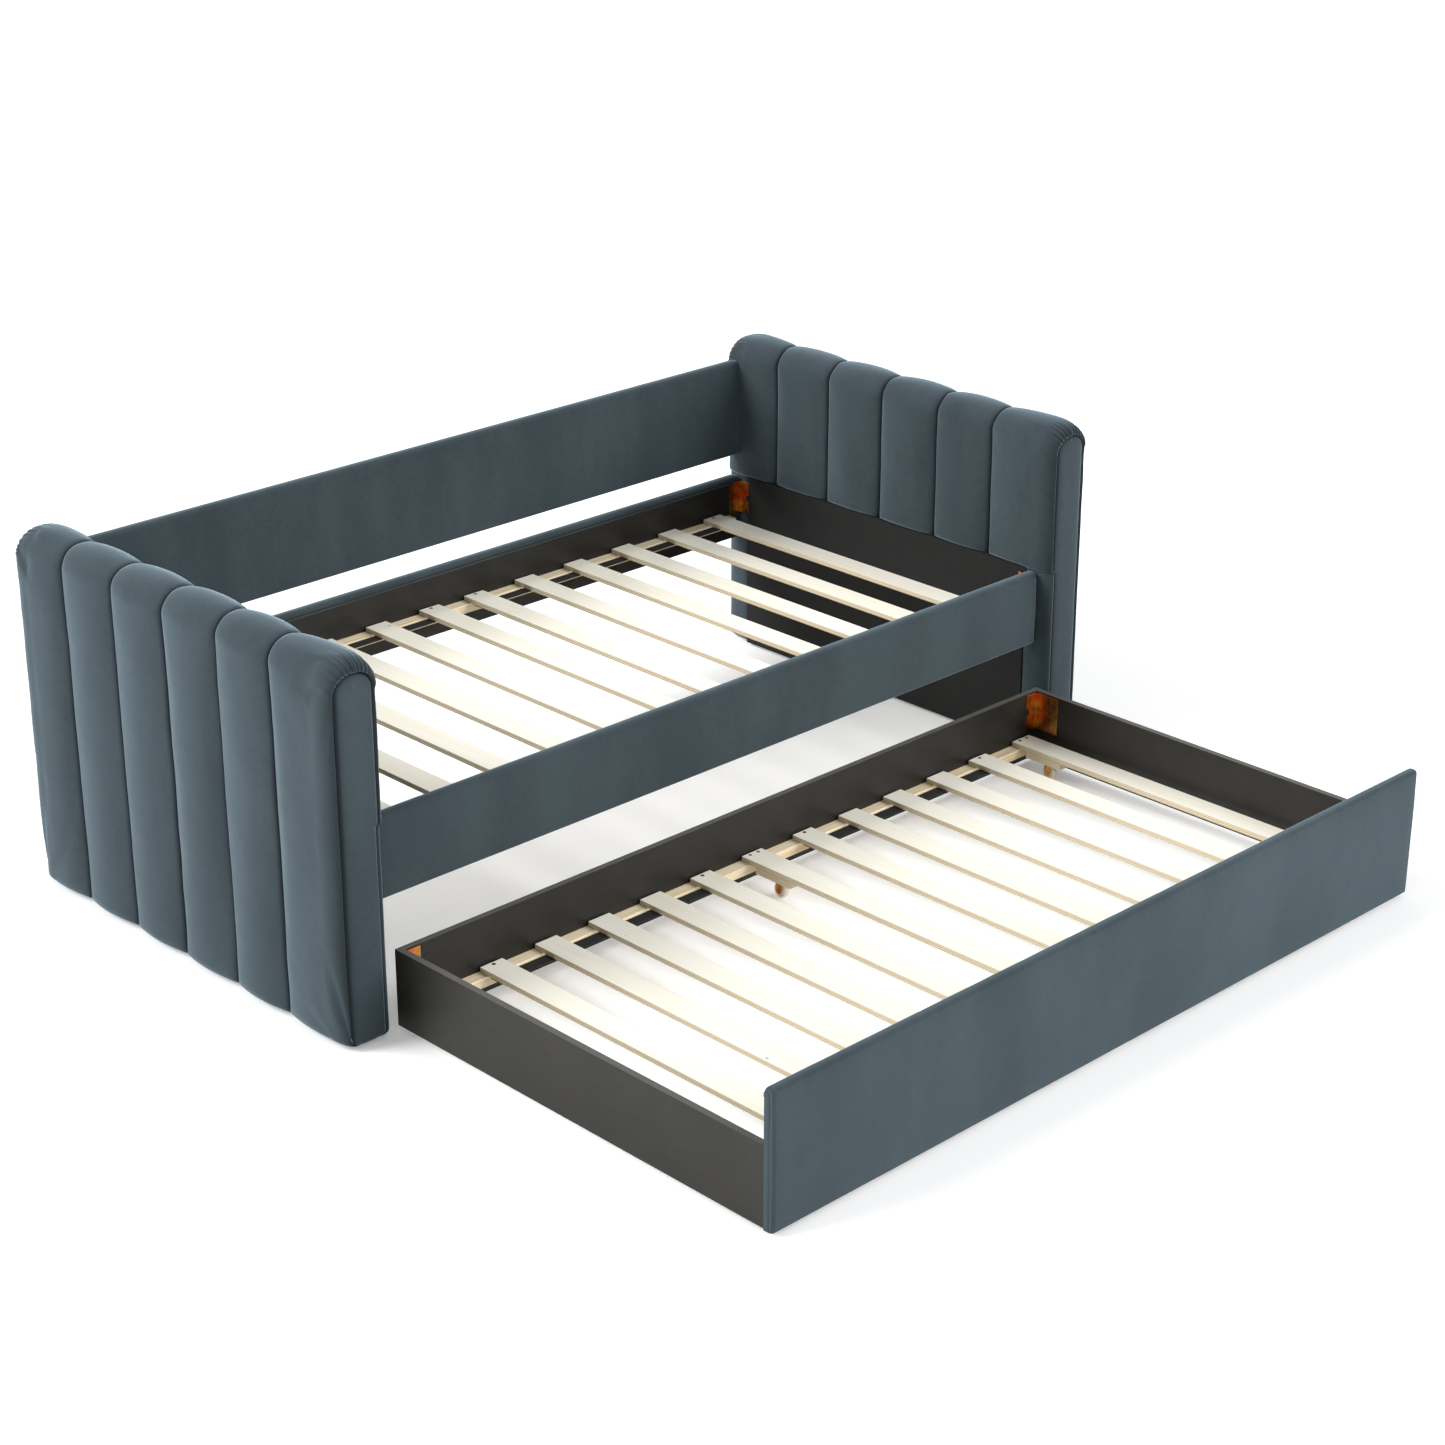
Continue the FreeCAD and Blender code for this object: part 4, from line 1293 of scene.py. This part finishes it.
class Bed:
    """Builds and dresses every piece of the bed."""

    # Width of the broken edges by slot, in metres. The slats over the casters stay sharp: a bevel
    # shades their faces unevenly between the screw holes.
    EDGE: ClassVar[dict[str, float]] = {
        "slat_wood": 0.0014,
        "black_board": 0.0009,
        "frame_timber": 0.0012,
        "zinc_steel": 0.0004,
    }
    KEPT_SHARP: ClassVar[str] = "trundle_caster_slats"

    def __init__(self, finishes: Finishes) -> None:
        """Keeps the finishes.

        Args:
            finishes: the finishes by slot.
        """
        self.finishes = finishes
        bodies = frame["record"]["behaviour"]["bodies"]
        self.body_of = {node: body for body, nodes in bodies.items() for node in nodes}

    def settle(self, piece: bpy.types.Object, slot: Slot, *nodes: str) -> None:
        """Dresses a new piece and lets it stand for its CAD nodes on their body.

        Args:
            piece: the new piece.
            slot: the slot of its finish.
            nodes: the nodes it stands for.
        """
        self.finishes.dress(piece, slot.value)
        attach(piece, self.body_of[nodes[0]])
        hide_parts(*nodes)
        LOG.info("%s stands for %s", piece.name, ", ".join(nodes))

    def dress_nodes(self) -> None:
        """Gives every CAD node that stays its finish and soft edges."""
        for part in frame["record"]["subparts"]:
            node, slot = part["node"], part["material_slot"]
            piece = frame["nodes"][node]
            for index in range(len(piece.data.materials)):
                piece.data.materials[index] = self.finishes.by_slot[slot]
            if slot in self.EDGE and node != self.KEPT_SHARP:
                self.soften(piece, self.EDGE[slot])
            LOG.info("%s is finished in %s", node, slot)

    @staticmethod
    def soften(piece: bpy.types.Object, width: float) -> None:
        """Breaks the sharp edges of a CAD node with modifiers.

        Args:
            piece: the node's object.
            width: of the broken edges, in metres.
        """
        weld = piece.modifiers.new("weld", "WELD")
        weld.merge_threshold = 1e-5
        bevel = piece.modifiers.new("bevel", "BEVEL")
        bevel.width = width
        bevel.segments = 2
        bevel.limit_method = "ANGLE"
        bevel.angle_limit = math.radians(40.0)
        bevel.harden_normals = True

    def arms(self) -> None:
        """Builds both arms' covers and glides."""
        lining_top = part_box("left_arm_lining")[1].z
        for side in Side:
            tag = side.name.lower()
            low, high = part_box(f"{tag}_arm_cover")
            cover = ArmCover(side, high.x - low.x, high.y - low.y, high.z, low.z, lining_top)
            piece = cover.build(f"{tag}_arm_upholstery")
            inflate(piece, cover.pressure, cover.most_swell)
            self.settle(piece, Slot.VELVET, f"{tag}_arm_cover")
            self.glides(tag)

    def glides(self, tag: str) -> None:
        """Builds the glides under one arm as one piece.

        Args:
            tag: "left" or "right".
        """
        low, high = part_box(f"{tag}_arm_feet")
        radius = (high.x - low.x) / 2.0
        x = (low.x + high.x) / 2.0
        made = []
        for end, y in (("front", low.y + radius), ("rear", high.y - radius)):
            glide = Glide(f"{tag}_{end}_glide", Vector((x, y, 0.0)), radius, high.z)
            made.append(glide.build())
        joined = join(made, f"{tag}_arm_glides")
        self.settle(joined, Slot.FOOT, f"{tag}_arm_feet")

    def rails(self) -> None:
        """Builds the velvet of the three rails and of the trundle's front."""
        wraps = (
            WrappedBoard("front_rail_velvet", "front_rail_cover", -1.0),
            WrappedBoard("lower_back_rail_velvet", "lower_back_rail_cover", 1.0),
            WrappedBoard("upper_back_rail_velvet", "upper_back_rail_cover", -1.0, all_round=True),
            WrappedBoard(
                "trundle_front_velvet",
                "trundle_front_cover",
                -1.0,
                top_round=0.009,
                belly=0.0012,
                end_round=0.007,
                end_fall=0.006,
                folded_ends=True,
            ),
        )
        for wrap in wraps:
            piece = wrap.build()
            inflate(piece, wrap.pressure, wrap.most_swell)
            self.settle(piece, Slot.VELVET, wrap.node)

    def wheels(self) -> None:
        """Builds the wheels of the six casters."""
        for node in sorted(frame["nodes"]):
            if node.startswith("caster_wheel_"):
                self.settle(CasterWheel(node).build(), Slot.WHEEL, node)


def join(pieces: Sequence[bpy.types.Object], name: str) -> bpy.types.Object:
    """Joins pieces into one mesh.

    Args:
        pieces: the pieces; they are used up.
        name: the joined object's name.

    Returns:
        The joined object.
    """
    mesh = bmesh.new()
    for piece in pieces:
        mesh.from_mesh(piece.data)
    joined = bpy.data.objects.new(name, bpy.data.meshes.new(name))
    mesh.to_mesh(joined.data)
    mesh.free()
    joined.data.shade_smooth()
    bpy.context.scene.collection.objects.link(joined)
    for piece in pieces:
        bpy.data.objects.remove(piece)
    return joined


# ---- studio -----------------------------------------------------------------------------
@dataclass(frozen=True)
class Softbox:
    """One large far light."""

    name: str
    source: Triple  # the direction that it shines from
    width: float  # how wide it looks from the bed, in degrees
    power: float  # in watts per square metre

    def hang(self) -> None:
        """Makes the light."""
        data = bpy.data.lights.new(self.name, "SUN")
        data.energy = self.power
        data.angle = math.radians(self.width)
        lamp = bpy.data.objects.new(self.name, data)
        lamp.location = Vector(self.source) * 5.0
        lamp.rotation_euler = (-Vector(self.source)).to_track_quat("-Z", "Y").to_euler()
        bpy.context.scene.collection.objects.link(lamp)


@dataclass(frozen=True)
class Studio:
    """Camera, lights and floor. Places are in metres and angles in degrees."""

    camera_at: Triple = (-4.1751, -4.2406, 2.9209)
    azimuth: float = 44.1192  # of the view, from +Y towards +X
    dip: float = 23.1453  # of the view below the horizon
    lens: float = 74.6308
    floor_size: float = 300.0
    sky: float = 0.5
    lights: tuple[Softbox, ...] = (
        Softbox("key", (-1.0, 0.6, 0.85), 32.0, 3.2),
        Softbox("front", (0.7, -1.0, 0.75), 45.0, 2.5),
    )

    def camera(self) -> None:
        """Makes the camera."""
        data = bpy.data.cameras.new("camera")
        data.lens = self.lens
        data.sensor_width = 36.0
        data.clip_end = 100.0
        camera = bpy.data.objects.new("camera", data)
        camera.location = self.camera_at
        tilt = math.radians(90.0 - self.dip)
        camera.rotation_euler = Euler((tilt, 0.0, -math.radians(self.azimuth)))
        bpy.context.scene.collection.objects.link(camera)
        bpy.context.scene.camera = camera

    def floor(self) -> None:
        """Makes the floor."""
        half = self.floor_size / 2.0
        steps = np.linspace(-half, half, 13)
        x, y = np.meshgrid(steps, steps, indexing="ij")
        plane = grid_object("floor", np.stack([x, y, np.full_like(x, -0.0002)], axis=-1))
        plane.data.materials.append(Floor().make())

    def build(self) -> None:
        """Makes the camera, the floor, the sky and the lights."""
        self.camera()
        self.floor()
        world = bpy.data.worlds.new("studio")
        world.use_nodes = True
        background = world.node_tree.nodes["Background"]
        background.inputs["Color"].default_value = (1.0, 1.0, 1.0, 1.0)
        background.inputs["Strength"].default_value = self.sky
        bpy.context.scene.world = world
        for light in self.lights:
            light.hang()
        bpy.context.scene.view_settings.view_transform = "Standard"


def main() -> None:
    """Builds the bed and the studio."""
    logging.basicConfig(level=logging.INFO, format="%(name)s: %(message)s")
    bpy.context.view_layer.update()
    Studio().build()
    bed = Bed(Finishes())
    bed.dress_nodes()
    bed.arms()
    bed.rails()
    bed.wheels()


if __name__ == "__main__":
    main()
